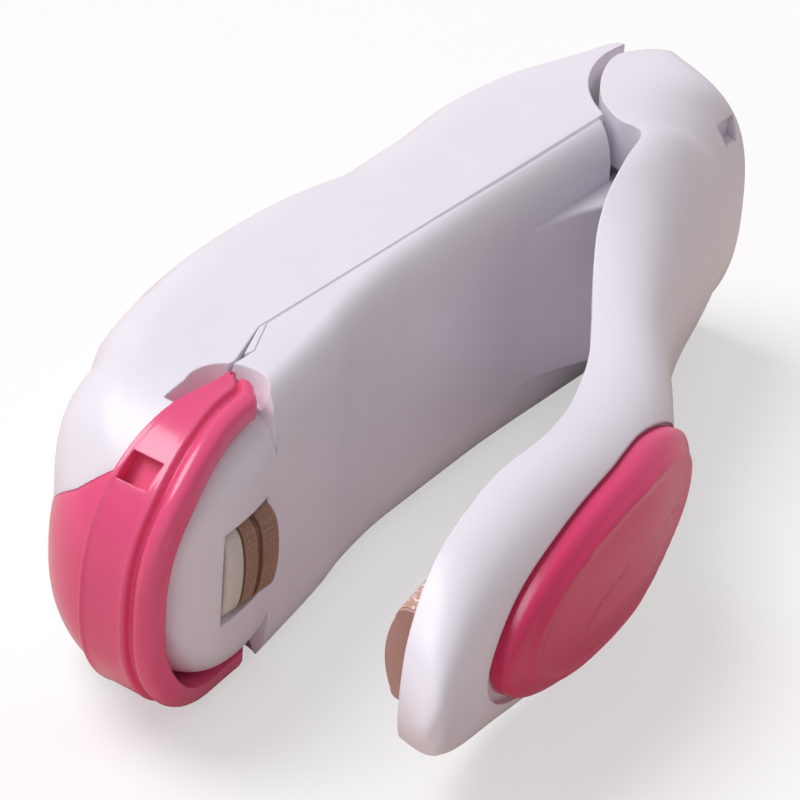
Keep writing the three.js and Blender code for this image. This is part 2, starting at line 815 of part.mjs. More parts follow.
function heaterSpring(side) {
  const thick = springWire;
  const profile = [[springRadius - thick, 0]];
  const coils = 4;
  const rise = springLength / coils;
  for (let i = 0; i < coils; i += 1) {
    profile.push([springRadius - thick / 3, i * rise]);
    profile.push([springRadius, (i + 0.5) * rise]);
  }
  profile.push([springRadius - thick / 3, springLength], [springRadius - thick, springLength]);
  profile.push([springRadius - thick, 0]);
  const geometry = turned(profile, 20);
  geometry.rotateZ(-Math.PI / 2);
  geometry.translate(springFoot, heaterY, middle + side * springReach);
  return toSolid(geometry);
}

function switchLeaf(x, y0) {
  return box(
    x, x + leafThick, y0, leafY + leafPostAlong + leafThick,
    middle - leafWidth / 2, middle + leafWidth / 2,
  );
}

// Lever: a shell swept over stations that fan round the hub and run out to the tip
const leverReach = hinge.y - lock.y + noseReach;
const leverRows = leverShares.map(([footAlong, footUp, crestAlong, crestUp, half, square]) => ({
  foot: new THREE.Vector2(hinge.x + leverRise * footUp, hinge.y - leverReach * footAlong),
  crest: new THREE.Vector2(hinge.x + leverRise * crestUp, hinge.y - leverReach * crestAlong),
  half: middle * half,
  square,
}));

// How far the lever turns from rest until its pad lies on the heater
const padRim = leverRows[padRow].foot.clone().sub(new THREE.Vector2(hinge.x, hinge.y));
const openAngle = Math.atan2(padRim.x, -padRim.y);
const closeAngle = openAngle - Math.asin((heaterTop + padProud - hinge.x) / padRim.length());

function leverRing(row, inset, footShift, skirt = 0) {
  const up = row.crest.clone().sub(row.foot).normalize();
  const depth = row.crest.distanceTo(row.foot) - inset - footShift;
  const foot = row.foot.clone().addScaledVector(up, footShift);
  const half = row.half - inset;
  const steps = 16;
  const ring = [];
  if (skirt > 0) {
    const low = foot.clone().addScaledVector(up, -skirt);
    ring.push(new THREE.Vector3(low.x, low.y, middle - half));
    ring.push(new THREE.Vector3(low.x, low.y, middle + half));
  }
  for (let i = 0; i <= steps; i += 1) {
    const a = (i / steps) * Math.PI;
    const out = Math.abs(Math.cos(a)) ** (2 / row.square) * Math.sign(Math.cos(a));
    const rise = Math.sin(a) ** (2 / row.square);
    const p = foot.clone().addScaledVector(up, depth * rise);
    ring.push(new THREE.Vector3(p.x, p.y, middle + half * out));
  }
  return ring;
}

// A plate just inside the rim, from one lever row to another
function rimPlate(from, to, low, high, side) {
  const rings = leverRows.slice(from, to + 1).map((row) => {
    const up = row.crest.clone().sub(row.foot).normalize();
    const depth = row.crest.distanceTo(row.foot) - leverWall;
    const share = Math.min(high / depth, 0.9);
    const half = (row.half - side) * (1 - share ** row.square) ** (1 / row.square);
    const a = row.foot.clone().addScaledVector(up, low);
    const b = row.foot.clone().addScaledVector(up, high);
    return [
      new THREE.Vector3(a.x, a.y, middle - half),
      new THREE.Vector3(b.x, b.y, middle - half),
      new THREE.Vector3(b.x, b.y, middle + half),
      new THREE.Vector3(a.x, a.y, middle + half),
    ];
  });
  return skin(rings);
}

// The lever's outer surface between its rows, found by how far along its crest it lies
function leverAt(y) {
  const follow = (pick) => through(leverRows.map((row) => [row.crest.y, pick(row)]), y);
  return {
    foot: new THREE.Vector2(follow((row) => row.foot.x), follow((row) => row.foot.y)),
    crest: new THREE.Vector2(follow((row) => row.crest.x), y),
    half: follow((row) => row.half),
    square: follow((row) => row.square),
  };
}

function leverSkinPoint(row, out, raise) {
  const share = Math.min(Math.abs(out) / row.half, 1);
  const rise = (1 - share ** row.square) ** (1 / row.square);
  const up = row.crest.clone().sub(row.foot);
  const depth = up.length();
  const p = row.foot.clone().addScaledVector(up.normalize(), depth * rise + raise);
  return new THREE.Vector3(p.x, p.y, middle + out);
}

// An oval lens on the back of the lever: low is its floor and top(share) its height inside
const thumbRear = hinge.y - leverReach * thumbRowShares[0];
const thumbFront = hinge.y - leverReach * thumbRowShares[1];
function thumbLens(grow, low, top) {
  const centre = (thumbRear + thumbFront) / 2;
  const reach = (thumbRear - thumbFront) / 2 + grow;
  const stations = 26;
  const steps = 8;
  const rings = [];
  for (let i = 0; i <= stations; i += 1) {
    const turn = (0.02 + (i / stations) * 0.96) * Math.PI;
    const row = leverAt(centre + reach * Math.cos(turn));
    const side = (thumbWidth / 2 + grow) * Math.sin(turn);
    const upper = [];
    const lower = [];
    for (let k = 0; k <= steps; k += 1) {
      const across = Math.sin((k / steps - 0.5) * Math.PI);
      const inside = Math.sin(turn) * Math.sqrt(Math.max(1 - across ** 2, 0));
      upper.push(leverSkinPoint(row, side * across, top(inside)));
      lower.push(leverSkinPoint(row, -side * across, low));
    }
    rings.push([...upper, ...lower]);
  }
  return skin(rings);
}

// The lever's outer form raised or lowered along its sections
function leverForm(raise) {
  return skin(leverRows.map((row) => leverRing(row, -raise, 0)));
}

function leverShell() {
  const [first, last] = leverHollowRows;
  const hubHollow = skin(leverRows.slice(first, leverHubRows + 2).map((row) => (
    leverRing(row, cheekThick, leverWall)
  )));
  const openHollow = skin(leverRows.slice(leverHubRows, last + 1).map((row) => (
    leverRing(row, leverWall, 0, overrun)
  )));
  const slotHalf = middle * footSlotShare;
  const footSlot = skin(leverRows.slice(first, leverHubRows + 2).map((row) => (
    leverRing({ ...row, half: slotHalf, square: leverRows[first].square }, leverWall, -overrun)
  )));
  const oval = thumbLens(thumbRim, -thumbRecess, () => thumbProud + overrun);
  const pinHole = bar(
    hinge.x, hinge.y, hingePinRadius + gap,
    middle - hingePinLength / 2 - gap, middle + hingePinLength / 2 + gap, 24,
  );
  const notch = slab(
    notchShares.map(([along, up]) => [hinge.x + leverRise * up, hinge.y - leverReach * along]),
    bodyWidth * notchRiseShares[0], bodyWidth * notchRiseShares[1],
  );
  return mainBody(
    cut(leverForm(0), hubHollow, openHollow, footSlot, oval, pinHole, notch),
  );
}

function thumbPad() {
  return thumbLens(0, seat - thumbRecess, (inside) => (
    thumbEdge + (thumbProud - thumbEdge) * inside ** 0.8
  ));
}

// The pressing pad is drawn as it lies on the closed heater, then swung open with the lever
const padFace = heaterTop + seat;
const padY = heaterY - padAhead;
function swing(solid) {
  const geometry = toGeometry(solid);
  geometry.translate(-hinge.x, -hinge.y, 0);
  geometry.rotateZ(closeAngle);
  geometry.translate(hinge.x, hinge.y, 0);
  return toSolid(geometry);
}

// A block with a bowed face and rounded shoulders
function padBlock(low, high, shrink) {
  const half = padAcross / 2 - shrink;
  const front = padY - padAlong / 2 + shrink;
  const rear = padY + padAlong / 2 - shrink;
  const face = crown(low, half - padRound, -padBow);
  const shoulder = low + padBow + padRound;
  return swing(slabAlong([
    [high, middle - half], [shoulder, middle - half], ...face,
    [shoulder, middle + half], [high, middle + half],
  ], front, rear));
}

function linerPlate(grow) {
  const [from, to] = linerRows;
  return rimPlate(
    from, to, linerInset - grow, linerInset + linerThick + grow,
    leverWall + gap - grow,
  );
}

const padRoot = padFace + leverRise / 4;
const linerBack = rimPlate(
  linerRows[0] - 1, linerRows[1] + 1, linerInset - gap, linerInset + leverRise, -overrun,
);
function pressPad() {
  return cut(padBlock(padFace + clothThick + seat, padRoot, clothThick + seat), linerBack);
}

function padCloth() {
  const sheath = cut(
    padBlock(padFace, padRoot, 0),
    padBlock(padFace + clothThick, padRoot + overrun, clothThick),
    linerBack,
  );
  const keepFront = swing(box(
    -far, far, padY - padAlong / 2 + clothThick, far, ...wholeWidth,
  ));
  return sheath.intersect(keepFront);
}

// Visor: a banded arch that follows the nose, with a bead, a groove and a rounded dome
function visorBand() {
  const outerHalf = middle;
  const innerHalf = noseWidth / 2 + visorGap;
  const innerReach = noseReach + visorGap;
  const left = lock.x + noseReach * visorLeftRiseShare;
  const rightRows = visorRightShares.map(([along, rise]) => [
    lock.y + noseReach * along, lock.x + noseReach * rise,
  ]);
  const section = (right) => {
    const fit = Math.min(1, (right - left) / (beadWidth + grooveDepth * 2));
    const bead = beadWidth * fit;
    const groove = grooveDepth * fit;
    return [
      [left, bandThick * 1.15, 1],
      [right - bead - groove * 1.5, bandThick * 0.92, 0.97],
      [right - bead - groove * 0.5, bandThick * 0.92 - groove, 0.8],
      [right - bead + groove * 0.3, bandThick * 0.9, 0.95],
      [right - bead * 0.3, bandThick * 0.72, 0.86],
      [right, bandThick * 0.3, 0.3],
      [right, 0, 0],
      [left, 0, 0],
    ];
  };
  const rings = [];
  const addRing = (turn, y) => {
    const wide = Math.abs(Math.cos(turn)) ** (2 / archSquareness) * Math.sign(Math.cos(turn));
    const reach = Math.sin(turn) ** (2 / archSquareness);
    const centreY = y ?? lock.y - innerReach * reach;
    const right = through(rightRows, centreY);
    rings.push(section(right).map(([x, out, share]) => {
      const half = innerHalf + (outerHalf - innerHalf) * share;
      const far1 = innerReach + out;
      const along = y ?? lock.y - far1 * reach;
      return new THREE.Vector3(x, along, middle + half * wide);
    }));
  };
  const armEnd = lock.y + noseReach * visorRightShares[0][0];
  [armEnd, (armEnd + lock.y) / 2].forEach((y) => addRing(0, y));
  const steps = 36;
  for (let i = 0; i <= steps; i += 1) addRing(Math.PI * (i / steps));
  [(armEnd + lock.y) / 2, armEnd].forEach((y) => addRing(Math.PI, y));
  return skin(rings);
}

// The rounded dome stands on the front of the battery side and sinks into it at its edge
const domeReach = tubReach + domeProud - domeShift;
const domeHalf = middle - domeInset;
const domeCentre = {
  x: lock.x + domeShift * Math.cos(domeTurnShare * Math.PI),
  y: lock.y + domeShift * Math.sin(domeTurnShare * Math.PI),
};
function visorDome() {
  const steps = 20;
  const profile = [];
  for (let i = 0; i <= steps; i += 1) {
    const a = (i / steps) * Math.PI;
    const out = Math.sin(a) ** (2 / archSquareness) * domeReach;
    const up = Math.abs(Math.cos(a)) ** (2 / archSquareness) * Math.sign(-Math.cos(a));
    profile.push([i === 0 || i === steps ? 0 : out, up * domeHalf]);
  }
  const geometry = turned(profile, 56);
  geometry.rotateX(Math.PI / 2);
  geometry.translate(domeCentre.x, domeCentre.y, middle);
  const left = lock.x + noseReach * visorLeftRiseShare + seat;
  const front = toSolid(geometry).intersect(box(
    lowSide, left, -far, lock.y - pocketRadius, ...wholeWidth,
  ));
  return mainBody(cut(front, wideCase(-gap)));
}

function lockVisor() {
  const whole = join(visorBand(), visorDome());
  const pinHole = bar(lock.x, lock.y, lockPinRadius + gap, ...wholeWidth, pinSides);
  const windows = [-1, 1].map((side) => {
    const geometry = new THREE.BoxGeometry(bandWidth * 0.5, noseReach, visorWindow);
    geometry.translate(0, -noseReach, 0);
    geometry.rotateX(side * Math.PI * windowAngleShare);
    geometry.translate(
      lock.x + noseReach * visorLeftRiseShare + bandWidth * windowAlongShare,
      lock.y,
      middle,
    );
    return toSolid(geometry);
  });
  return cut(whole, pinHole, ...windows);
}

// Hinge pin and torsion spring
function hingePin() {
  return bar(
    hinge.x, hinge.y, hingePinRadius,
    middle - hingePinLength / 2, middle + hingePinLength / 2, 24,
  );
}

function leverSpring() {
  const wireSize = springWire;
  const inner = hingePinRadius + gap;
  const half = lugSpacing / 2 - gap;
  const profile = [[inner, -half]];
  const coils = 6;
  const rise = (2 * half) / coils;
  for (let i = 0; i < coils; i += 1) {
    profile.push([inner + wireSize * 0.7, -half + i * rise]);
    profile.push([inner + wireSize, -half + (i + 0.5) * rise]);
  }
  profile.push([inner + wireSize * 0.7, half], [inner, half], [inner, -half]);
  const geometry = turned(profile, 20);
  geometry.rotateX(Math.PI / 2);
  geometry.translate(hinge.x, hinge.y, middle);
  const reach = inner + wireSize / 2;
  const leg = box(
    hinge.x + reach - wireSize / 2, hinge.x + reach + wireSize / 2,
    hinge.y - lugRadius * 1.4, hinge.y, middle - half, middle - half + wireSize,
  );
  return join(toSolid(geometry), cut(leg, bar(hinge.x, hinge.y, inner, ...wholeWidth, postSides)));
}

function caseScrew({ y, z }) {
  const tip = panelAt(y) - wall / 2 - gap;
  const end = Math.min(tip, seamRise + screwEngage);
  const head = screwSeat - seat - screwHeadHeight;
  const geometry = turned([
    [0, head], [screwHead * 0.7, head], [screwHead, head + screwHeadHeight * 0.5],
    [screwHead, head + screwHeadHeight], [screwRadius, head + screwHeadHeight],
    [screwRadius, end - screwRadius], [0, end],
  ], 16);
  geometry.rotateZ(-Math.PI / 2);
  geometry.translate(0, y, z);
  return toSolid(geometry);
}

// The assembled sealer
const group = new THREE.Group();

function addPiece(name, solid, look) {
  const mesh = new THREE.Mesh(toGeometry(solid), new THREE.MeshStandardMaterial(look));
  mesh.name = name;
  group.add(mesh);
}

addPiece('base_tub', baseTub(), colours.abs);
addPiece('top_cover', topCover(), colours.abs);
addPiece('battery_door', batteryDoor(), colours.abs);
addPiece('cell_1', cell(1), colours.cell);
addPiece('cell_2', cell(-1), colours.cell);
addPiece('contact_spring_front', contactSpring(-1), colours.steel);
addPiece('contact_spring_rear', contactSpring(1), colours.steel);
addPiece(
  'contact_bridge_front',
  contactPlate(bayFront + seat, middle, 2 * cellSplit + contactWidth),
  colours.steel,
);
addPiece(
  'contact_plate_rear_1',
  contactPlate(bayRear - contactThick - seat, middle + cellSplit, contactWidth),
  colours.steel,
);
addPiece(
  'contact_plate_rear_2',
  contactPlate(bayRear - contactThick - seat, middle - cellSplit, contactWidth),
  colours.steel,
);
addPiece('heater_block', heaterBlock(), colours.ceramic);
addPiece(
  'heater_strip_front',
  crownSheet(stripFront, ribbonY - gap, heaterFace + seat, heaterFace + seat + stripThick),
  colours.cloth,
);
addPiece(
  'heater_strip_rear',
  crownSheet(
    ribbonY + ribbonWidth + gap, stripRear, heaterFace + seat, heaterFace + seat + stripThick,
  ),
  colours.cloth,
);
addPiece(
  'heater_ribbon',
  crownSheet(ribbonY, ribbonY + ribbonWidth, heaterFace + seat, heaterFace + stripThick),
  colours.steel,
);
addPiece('heater_spring_1', heaterSpring(1), colours.steel);
addPiece('heater_spring_2', heaterSpring(-1), colours.steel);
addPiece('switch_leaf_upper', switchLeaf(leafTop, heaterY), colours.brass);
addPiece('switch_leaf_lower', switchLeaf(leafTop - leafSpacing, heaterY + leafThick), colours.brass);
addPiece('lever_shell', leverShell(), colours.abs);
addPiece('lever_liner', linerPlate(0), colours.inner);
addPiece('press_pad', pressPad(), colours.rubber);
addPiece('pad_cloth', padCloth(), colours.cloth);
addPiece('thumb_pad', thumbPad(), colours.pink);
addPiece('lock_visor', lockVisor(), colours.pink);
addPiece('hinge_pin', hingePin(), colours.steel);
addPiece('lever_spring', leverSpring(), colours.steel);
screwPlaces.forEach((placeOf, i) => {
  addPiece(`case_screw_${i + 1}`, caseScrew(placeOf), colours.steel);
});

export default group;
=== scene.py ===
"""Looks of a hand-held mini bag sealer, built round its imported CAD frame.

Shapes are written in millimetres and become metres when a piece is finished. The case lies on
one side: Y runs from the nose (low) to the hinge (high), X from the battery door (low) to the
lever (high), and Z across the width.
"""

import math

import bpy
from mathutils import Matrix, Vector


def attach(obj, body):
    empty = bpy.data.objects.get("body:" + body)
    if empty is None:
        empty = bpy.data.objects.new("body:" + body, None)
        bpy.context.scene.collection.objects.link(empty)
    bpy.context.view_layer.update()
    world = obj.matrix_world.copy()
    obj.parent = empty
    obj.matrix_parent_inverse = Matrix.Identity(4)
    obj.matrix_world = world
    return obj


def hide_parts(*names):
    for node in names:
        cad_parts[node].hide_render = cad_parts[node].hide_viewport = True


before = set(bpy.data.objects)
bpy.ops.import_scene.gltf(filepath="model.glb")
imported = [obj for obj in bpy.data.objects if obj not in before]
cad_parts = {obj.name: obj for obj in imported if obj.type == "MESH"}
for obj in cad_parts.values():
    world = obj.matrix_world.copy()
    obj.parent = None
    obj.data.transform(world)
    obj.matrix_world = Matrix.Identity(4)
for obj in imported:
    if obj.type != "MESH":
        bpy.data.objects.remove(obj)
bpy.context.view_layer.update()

scene = bpy.context.scene
METRES = 0.001

# Sizes shared by several pieces
WALL, GAP, SEAT, OVERRUN = 1.8, 0.3, 0.15, 3
LENGTH, DEPTH, WIDTH = 106, 31.3, 35
MIDDLE, FAR = WIDTH / 2, LENGTH
WHOLE = (-OVERRUN, WIDTH + OVERRUN)

# The case: its roundings, nose, pockets, seam and hinge
BASE_ROUND, PANEL_ROUND, EDGE_BROAD, CORNER_ROUND = 8, 3.4, 1.7, 2.4
NOSE_REACH, TUB_REACH, NOSE_WIDTH, NOSE_ROUND = 16, 17.7, 29, 5
POCKET_RADIUS, POCKET_FOOT, POCKET_DEPTH, LOCK_PIN_RADIUS = 4.7, 3.7, 3, 1.2
POCKET_RUN, RUN_EDGE, RUN_LAP, SHAVE_REACH, SHAVE_LAP = 5.4, 1.2, 1, 4, 0.1
TONGUE_SUNK, TONGUE_GAP, TONGUE_ROOT = 0.06, 0.06, 0.2
HUB_RADIUS, LIP_GAP, COVER_GAP = 13, 1.2, 2
HINGE_PIN_RADIUS, HINGE_PIN_LENGTH = 1.5, 28.2
LUG_RADIUS, LUG_THICK, LUG_SPACING = 4.5, 5, 8
RAMP_HEIGHT, RAMP_WIDTH, RAMP_ROUND = 5.5, 21, 1.1
SCREW_RADIUS, SCREW_HEAD, SCREW_ENGAGE, BOSS_WALL, SCREW_SETBACK = 1, 2.1, 5.6, 1.1, 4.15
SCREW_SIDE = WIDTH * 0.34

# The cells, heater, springs and switch
CELL_RADIUS, CELL_SPACING, CELL_LENGTH = 7.25, 0.7, 50.5
CONTACT_SPRING, CONTACT_PLATE, BAY_WALL = 2.6, 0.5, 1.2
HEATER_ALONG, HEATER_ACROSS, HEATER_PROUD, HEATER_CROWN = 8, 11, 1.2, 0.9
HEATER_HEIGHT, HEATER_FLANGE, HEATER_TRAVEL, HEATER_BAR = 8.8, 1.2, 1.2, 2.3
HEATER_ENDS, ENDS_CURVE, HEATER_EDGE, BAR_EDGE = 1.2, 9, 0.7, 0.3
STRIP_THICK, RIBBON_WIDTH, RIBBON_SHARE, WIRE_GAP = 0.5, 0.6, 0.38, 0.1
SPRING_RADIUS, SPRING_WIRE, SPRING_LENGTH, SPRING_SPACING = 1.9, 0.7, 4, 7
LEAF_THICK, LEAF_WIDTH, LEAF_SPACING, LEAF_POST = 0.4, 2.4, 1.4, 2.5

# The lever, its thumb pad and its pressing pad
LEVER_RISE, LEVER_WALL, CHEEK = 45, 1.8, 2.6
TIP_LEFT, TIP_CURVE, TIP_DRAWN = 0.03, 2.3, 0.45
SLOT_HALF, SLOT_SQUARE = MIDDLE * 0.72, 5.2
THUMB_WIDTH, THUMB_PROUD, THUMB_EDGE, THUMB_RECESS, THUMB_RIM = 19, 2.1, 0.5, 0.8, 0.5
THUMB_LEDGE, RIDGE_HIGH, RIDGE_PLACE, RIDGE_BROAD, DIP_DEPTH = 1.1, 0.42, 0.56, 0.075, 0.42
PAD_ALONG, PAD_ACROSS, PAD_AHEAD, PAD_ROUND, PAD_BOW, CLOTH = 11.6, 11.4, 0.8, 1.2, 0.9, 0.5
PAD_PROUD, PAD_FIT, RIM_FIT, SLEEVE_LENGTH = 3.75, 0.05, 0.2, 15.4

# The lock
VISOR_GAP, BAND_THICK, BAND_WIDTH, BEAD_WIDTH, GROOVE_DEPTH = 0.5, 3.3, 8, 2.4, 0.8
DOME_REACH, DOME_SHIFT, DOME_HALF, ARM_SKIN, LEFT_LAP = 14.7, 4.8, 15.4, 0.8, 0.9
WINDOW_WIDTH, WINDOW_LENGTH, WINDOW_FLOOR = 3.4, BAND_WIDTH / 2, 17.9
WINDOW_TURN, WINDOW_RISE = math.pi / 4, BAND_WIDTH * 0.24

# Side outlines of the case: along as a share of the length, height as a share of the depth
BASE = [
    (0.5094, -0.115), (0.4858, -0.1597), (0.4802, -0.1789), (0.4292, -0.2396),
    (0.3509, -0.3195), (0.2528, -0.345), (0.1717, -0.3163), (0.116, -0.3099),
    (0.0642, -0.3067), (0.0226, -0.3355), (-0.0179, -0.3578), (-0.0651, -0.3674),
    (-0.1142, -0.3674), (-0.166, -0.3578), (-0.2236, -0.3323), (-0.2887, -0.2812),
    (-0.3387, -0.2268), (-0.3774, -0.1693),
]
PANEL = [
    (0.5094, 0.345), (0.3208, 0.345), (0.1415, 0.345), (0.0472, 0.361), (0, 0.3706),
    (-0.0755, 0.3898), (-0.1509, 0.4345), (-0.1981, 0.4792), (-0.2547, 0.5208),
    (-0.3019, 0.5527), (-0.3396, 0.5783), (-0.3774, 0.6102), (-0.4151, 0.6294),
    (-0.4434, 0.6326), (-0.4717, 0.6134), (-0.4953, 0.5751), (-0.5094, 0.5048),
    (-0.516, 0.4281),
]
# The lever's sections: along and height of foot and crest, half width, squareness
LEVER = [
    (-0.0487, -0.1467, -0.083, -0.06, 1, 4.5),
    (-0.0139, -0.1867, -0.087, 0.04, 1, 4.2),
    (0.0308, -0.16, -0.0912, 0.122, 1, 3.2),
    (0.0765, -0.0911, -0.0775, 0.1481, 0.99, 2.4),
    (0.1014, 0.0022, -0.046, 0.1798, 0.985, 2),
    (0.1054, 0.082, -0.0012, 0.2165, 0.975, 1.95),
    (0.1561, 0.117, 0.0523, 0.2595, 0.943, 2.05),
    (0.2058, 0.1489, 0.111, 0.3085, 0.863, 2.2),
    (0.2476, 0.1889, 0.1718, 0.3639, 0.771, 2.4),
    (0.2824, 0.2356, 0.2323, 0.429, 0.691, 2.5),
    (0.3221, 0.2978, 0.291, 0.5054, 0.611, 2.55),
    (0.3678, 0.371, 0.3468, 0.6015, 0.5754, 2.6),
    (0.4344, 0.4696, 0.4051, 0.695, 0.56, 2.5),
    (0.515, 0.5583, 0.4768, 0.7711, 0.5964, 2.6),
    (0.5724, 0.6122, 0.5441, 0.8262, 0.6729, 2.6),
    (0.6327, 0.6531, 0.6104, 0.8573, 0.7337, 2.6),
    (0.7332, 0.6804, 0.7193, 0.8869, 0.7685, 2.6),
    (0.8346, 0.7236, 0.8175, 0.9066, 0.6818, 2.6),
    (0.8856, 0.7543, 0.8889, 0.9268, 0.575, 2.8),
    (0.9194, 0.7802, 0.9343, 0.946, 0.445, 2.8),
    (0.9482, 0.8073, 0.9688, 0.9634, 0.29, 2.7),
    (0.9655, 0.8277, 0.9925, 0.966, 0.06, 2.5),
]
HINGE = Vector((DEPTH * 0.3035, LENGTH * 0.434))
LOCK = Vector((DEPTH * 0.4217, LENGTH * -0.3641))
HUB = Vector((DEPTH * 0.4505, LENGTH * 0.4528))
SEAM_RISE, SEAM_FRONT = DEPTH * 0.2556, DEPTH * 0.3323
LIP_RADIUS, COVER_RADIUS = HUB_RADIUS + LIP_GAP, HUB_RADIUS + COVER_GAP
COVER_FRONT, HEATER_Y = LENGTH * -0.3396, LENGTH * -0.3962
CASE_REAR, WIDE_FRONT = LENGTH * 0.485, LENGTH * -0.3387
ARCH, NOSE_END = 2.4, 0.93
VISOR_LEFT = LOCK.x + NOSE_REACH * -0.13


# Finishes

class Value:
    """A shader value: sums in Python add its Math nodes."""

    def __init__(self, finish, socket):
        self.finish, self.socket = finish, socket

    def __add__(self, other):
        return self.finish.math("ADD", self, other)

    def __sub__(self, other):
        return self.finish.math("SUBTRACT", self, other)

    def __rsub__(self, other):
        return self.finish.math("SUBTRACT", other, self)

    def __mul__(self, other):
        return self.finish.math("MULTIPLY", self, other)

    def __pow__(self, other):
        return self.finish.math("POWER", self, other)

    __radd__ = __add__


class Finish:
    """A procedural finish for one kind of surface, or for the world round it."""

    def __init__(self, name, library=bpy.data.materials):
        self.material = library.new(name)
        self.material.use_nodes = True
        self.tree = self.material.node_tree
        self.tree.nodes.clear()

    def node(self, kind, settings=None, inputs=None, output=0):
        node = self.tree.nodes.new("ShaderNode" + kind)
        for key, value in (settings or {}).items():
            setattr(node, key, value)
        for key, value in (inputs or {}).items():
            if isinstance(value, Value):
                self.tree.links.new(value.socket, node.inputs[key])
            else:
                node.inputs[key].default_value = value
        return Value(self, node.outputs[output]) if node.outputs else None

    def math(self, operation, *values):
        return self.node("Math", {"operation": operation}, dict(enumerate(values)))

    def place(self):
        return self.node("TexCoord", output="Object")

    def axes(self):
        split = self.node("SeparateXYZ", inputs={"Vector": self.place()})
        outputs = split.socket.node.outputs
        return [Value(self, outputs[axis]) for axis in "XYZ"]

    def noise(self, size, detail):
        return self.node("TexNoise", inputs={
            "Vector": self.place(), "Scale": 1 / (size * METRES), "Detail": detail,
        })

    def mix(self, share, low, high):
        return self.node("Mix", {"data_type": "RGBA"}, {0: share, 6: low, 7: high}, 2)

    def blend(self, share, low, high):
        """A mix of two colours, each a shader value or a colour from the screen."""
        return self.mix(share, *[
            colour if isinstance(colour, Value) else from_screen(*colour)
            for colour in (low, high)
        ])

    def bump(self, height, depth, strength, normal=None):
        inputs = {"Height": height, "Distance": depth * METRES, "Strength": strength}
        if normal is not None:
            inputs["Normal"] = normal
        return self.node("Bump", inputs=inputs)

    def soft_edges(self, radius):
        inputs = {"Radius": radius * METRES}
        return self.node("Bevel", {"samples": 6}, inputs)

    def finish(self, **inputs):
        shader = self.node("BsdfPrincipled", inputs={
            key.replace("_", " "): value for key, value in inputs.items()
        }, output="BSDF")
        self.node("OutputMaterial", inputs={"Surface": shader})
        return self.material


def from_screen(*colour):
    """A colour as the eye reads it on a screen, 0 to 255, as the shader wants it."""
    return (*[
        c / 12.92 if c <= 0.04045 else ((c + 0.055) / 1.055) ** 2.4
        for c in [part / 255 for part in colour]
    ], 1)


def grainy(
    name, low, high, rough, edge=0.35, coat=0.0,
    cloud=9, grain=0.35, vary=0.12, depth=0.02, strength=0.5,
):
    """A moulded surface: a faint cloudiness, a fine grain and rounded edges."""
    f = Finish(name)
    pits = f.noise(grain, 4)
    return f.finish(
        Base_Color=f.blend(f.noise(cloud, 2), low, high),
        Roughness=rough + (pits - 0.5) * vary,
        Coat_Weight=coat, Coat_Roughness=0.12,
        Normal=f.bump(pits, depth, strength, f.soft_edges(edge)),
    )


def thumb_plastic():
    """Glossy pink with painted shade: deep towards the lens's front end and paler towards its
    rear, where the light falls, under a faint random cloudiness.
    """
    f = Finish("pink thumb plastic")
    front, rear = -0.041, 0.01
    run = f.node("MapRange", inputs={
        "Value": f.axes()[1], "From Min": front, "From Max": rear, "To Min": 0, "To Max": 1,
    })
    cloud = f.noise(12, 2)
    # painted shade and highlight: deep at the front end, pale at the rear where the pad is lit;
    # the cloud is the plastic's own random tone
    share = run * 0.8 + cloud * 0.3 - 0.05
    grain = f.noise(1.6, 3)
    return f.finish(
        Base_Color=f.blend(share, (214, 42, 94), (240, 82, 136)),
        Roughness=0.26 + grain * 0.08,
        Coat_Weight=0.15, Coat_Roughness=0.18,
        Normal=f.bump(grain, 0.01, 0.3),
    )


def metal(name, low, high, rough):
    """Drawn metal with a fine brushing along one axis."""
    f = Finish(name)
    brushed = (0.05, 1.6, 0.05)
    scaled = f.node("Mapping", inputs={
        "Vector": f.place(), "Scale": tuple(1 / (s * METRES) for s in brushed),
    })
    lines = f.node("TexNoise", inputs={"Vector": scaled, "Scale": 1, "Detail": 4})
    return f.finish(
        Base_Color=f.blend(lines, low, high), Metallic=1.0,
        Roughness=rough + (lines - 0.5) * 0.2, Normal=f.bump(lines, 0.01, 0.4),
    )


def woven_cloth(name, low, high, specks=0.0):
    """Coated glass cloth: crossing threads, each a rounded hump, with painted shade that darkens
    the hollows between the threads, and bright specks if wanted.
    """
    f, pitch = Finish(name), 0.5
    x, y, z = f.axes()
    turn = math.pi / (pitch * METRES)
    warp_sine = f.math("SINE", y * turn)
    weft_sine = f.math("SINE", (x + z) * turn)
    over = f.math("GREATER_THAN", warp_sine * weft_sine, 0)
    warp = f.math("ABSOLUTE", warp_sine) ** 0.6
    weft = f.math("ABSOLUTE", weft_sine) ** 0.6
    hump = over * warp + (1 - over) * weft
    stain = f.noise(2.2, 3)
    # painted shade: the colour follows the threads' height, darker in the weave's hollows; the
    # stain noise is the cloth's own mottle
    share = hump * 0.6 + stain * 0.5 - 0.05
    colour = f.blend(share, low, high)
    if specks:
        bright = f.math("GREATER_THAN", f.noise(pitch * 0.9, 1) + hump * 0.1, 1 - specks)
        colour = f.blend(bright, colour, (250, 236, 226))
    return f.finish(
        Base_Color=colour, Roughness=0.62 - hump * 0.18, Normal=f.bump(hump, 0.08, 0.7),
    )


def cell_wrap():
    """A heat-shrunk sleeve: plain green with a pale band round each end."""
    f = Finish("cell sleeve")
    band_start = 0.019
    band = f.math("GREATER_THAN", f.math("ABSOLUTE", f.axes()[1]), band_start)
    grain = f.noise(0.5, 3)
    return f.finish(
        Base_Color=f.blend(band, (40, 104, 84), (206, 208, 204)),
        Roughness=0.3 + grain * 0.1, Coat_Weight=0.3, Normal=f.bump(grain, 0.02, 0.5),
    )


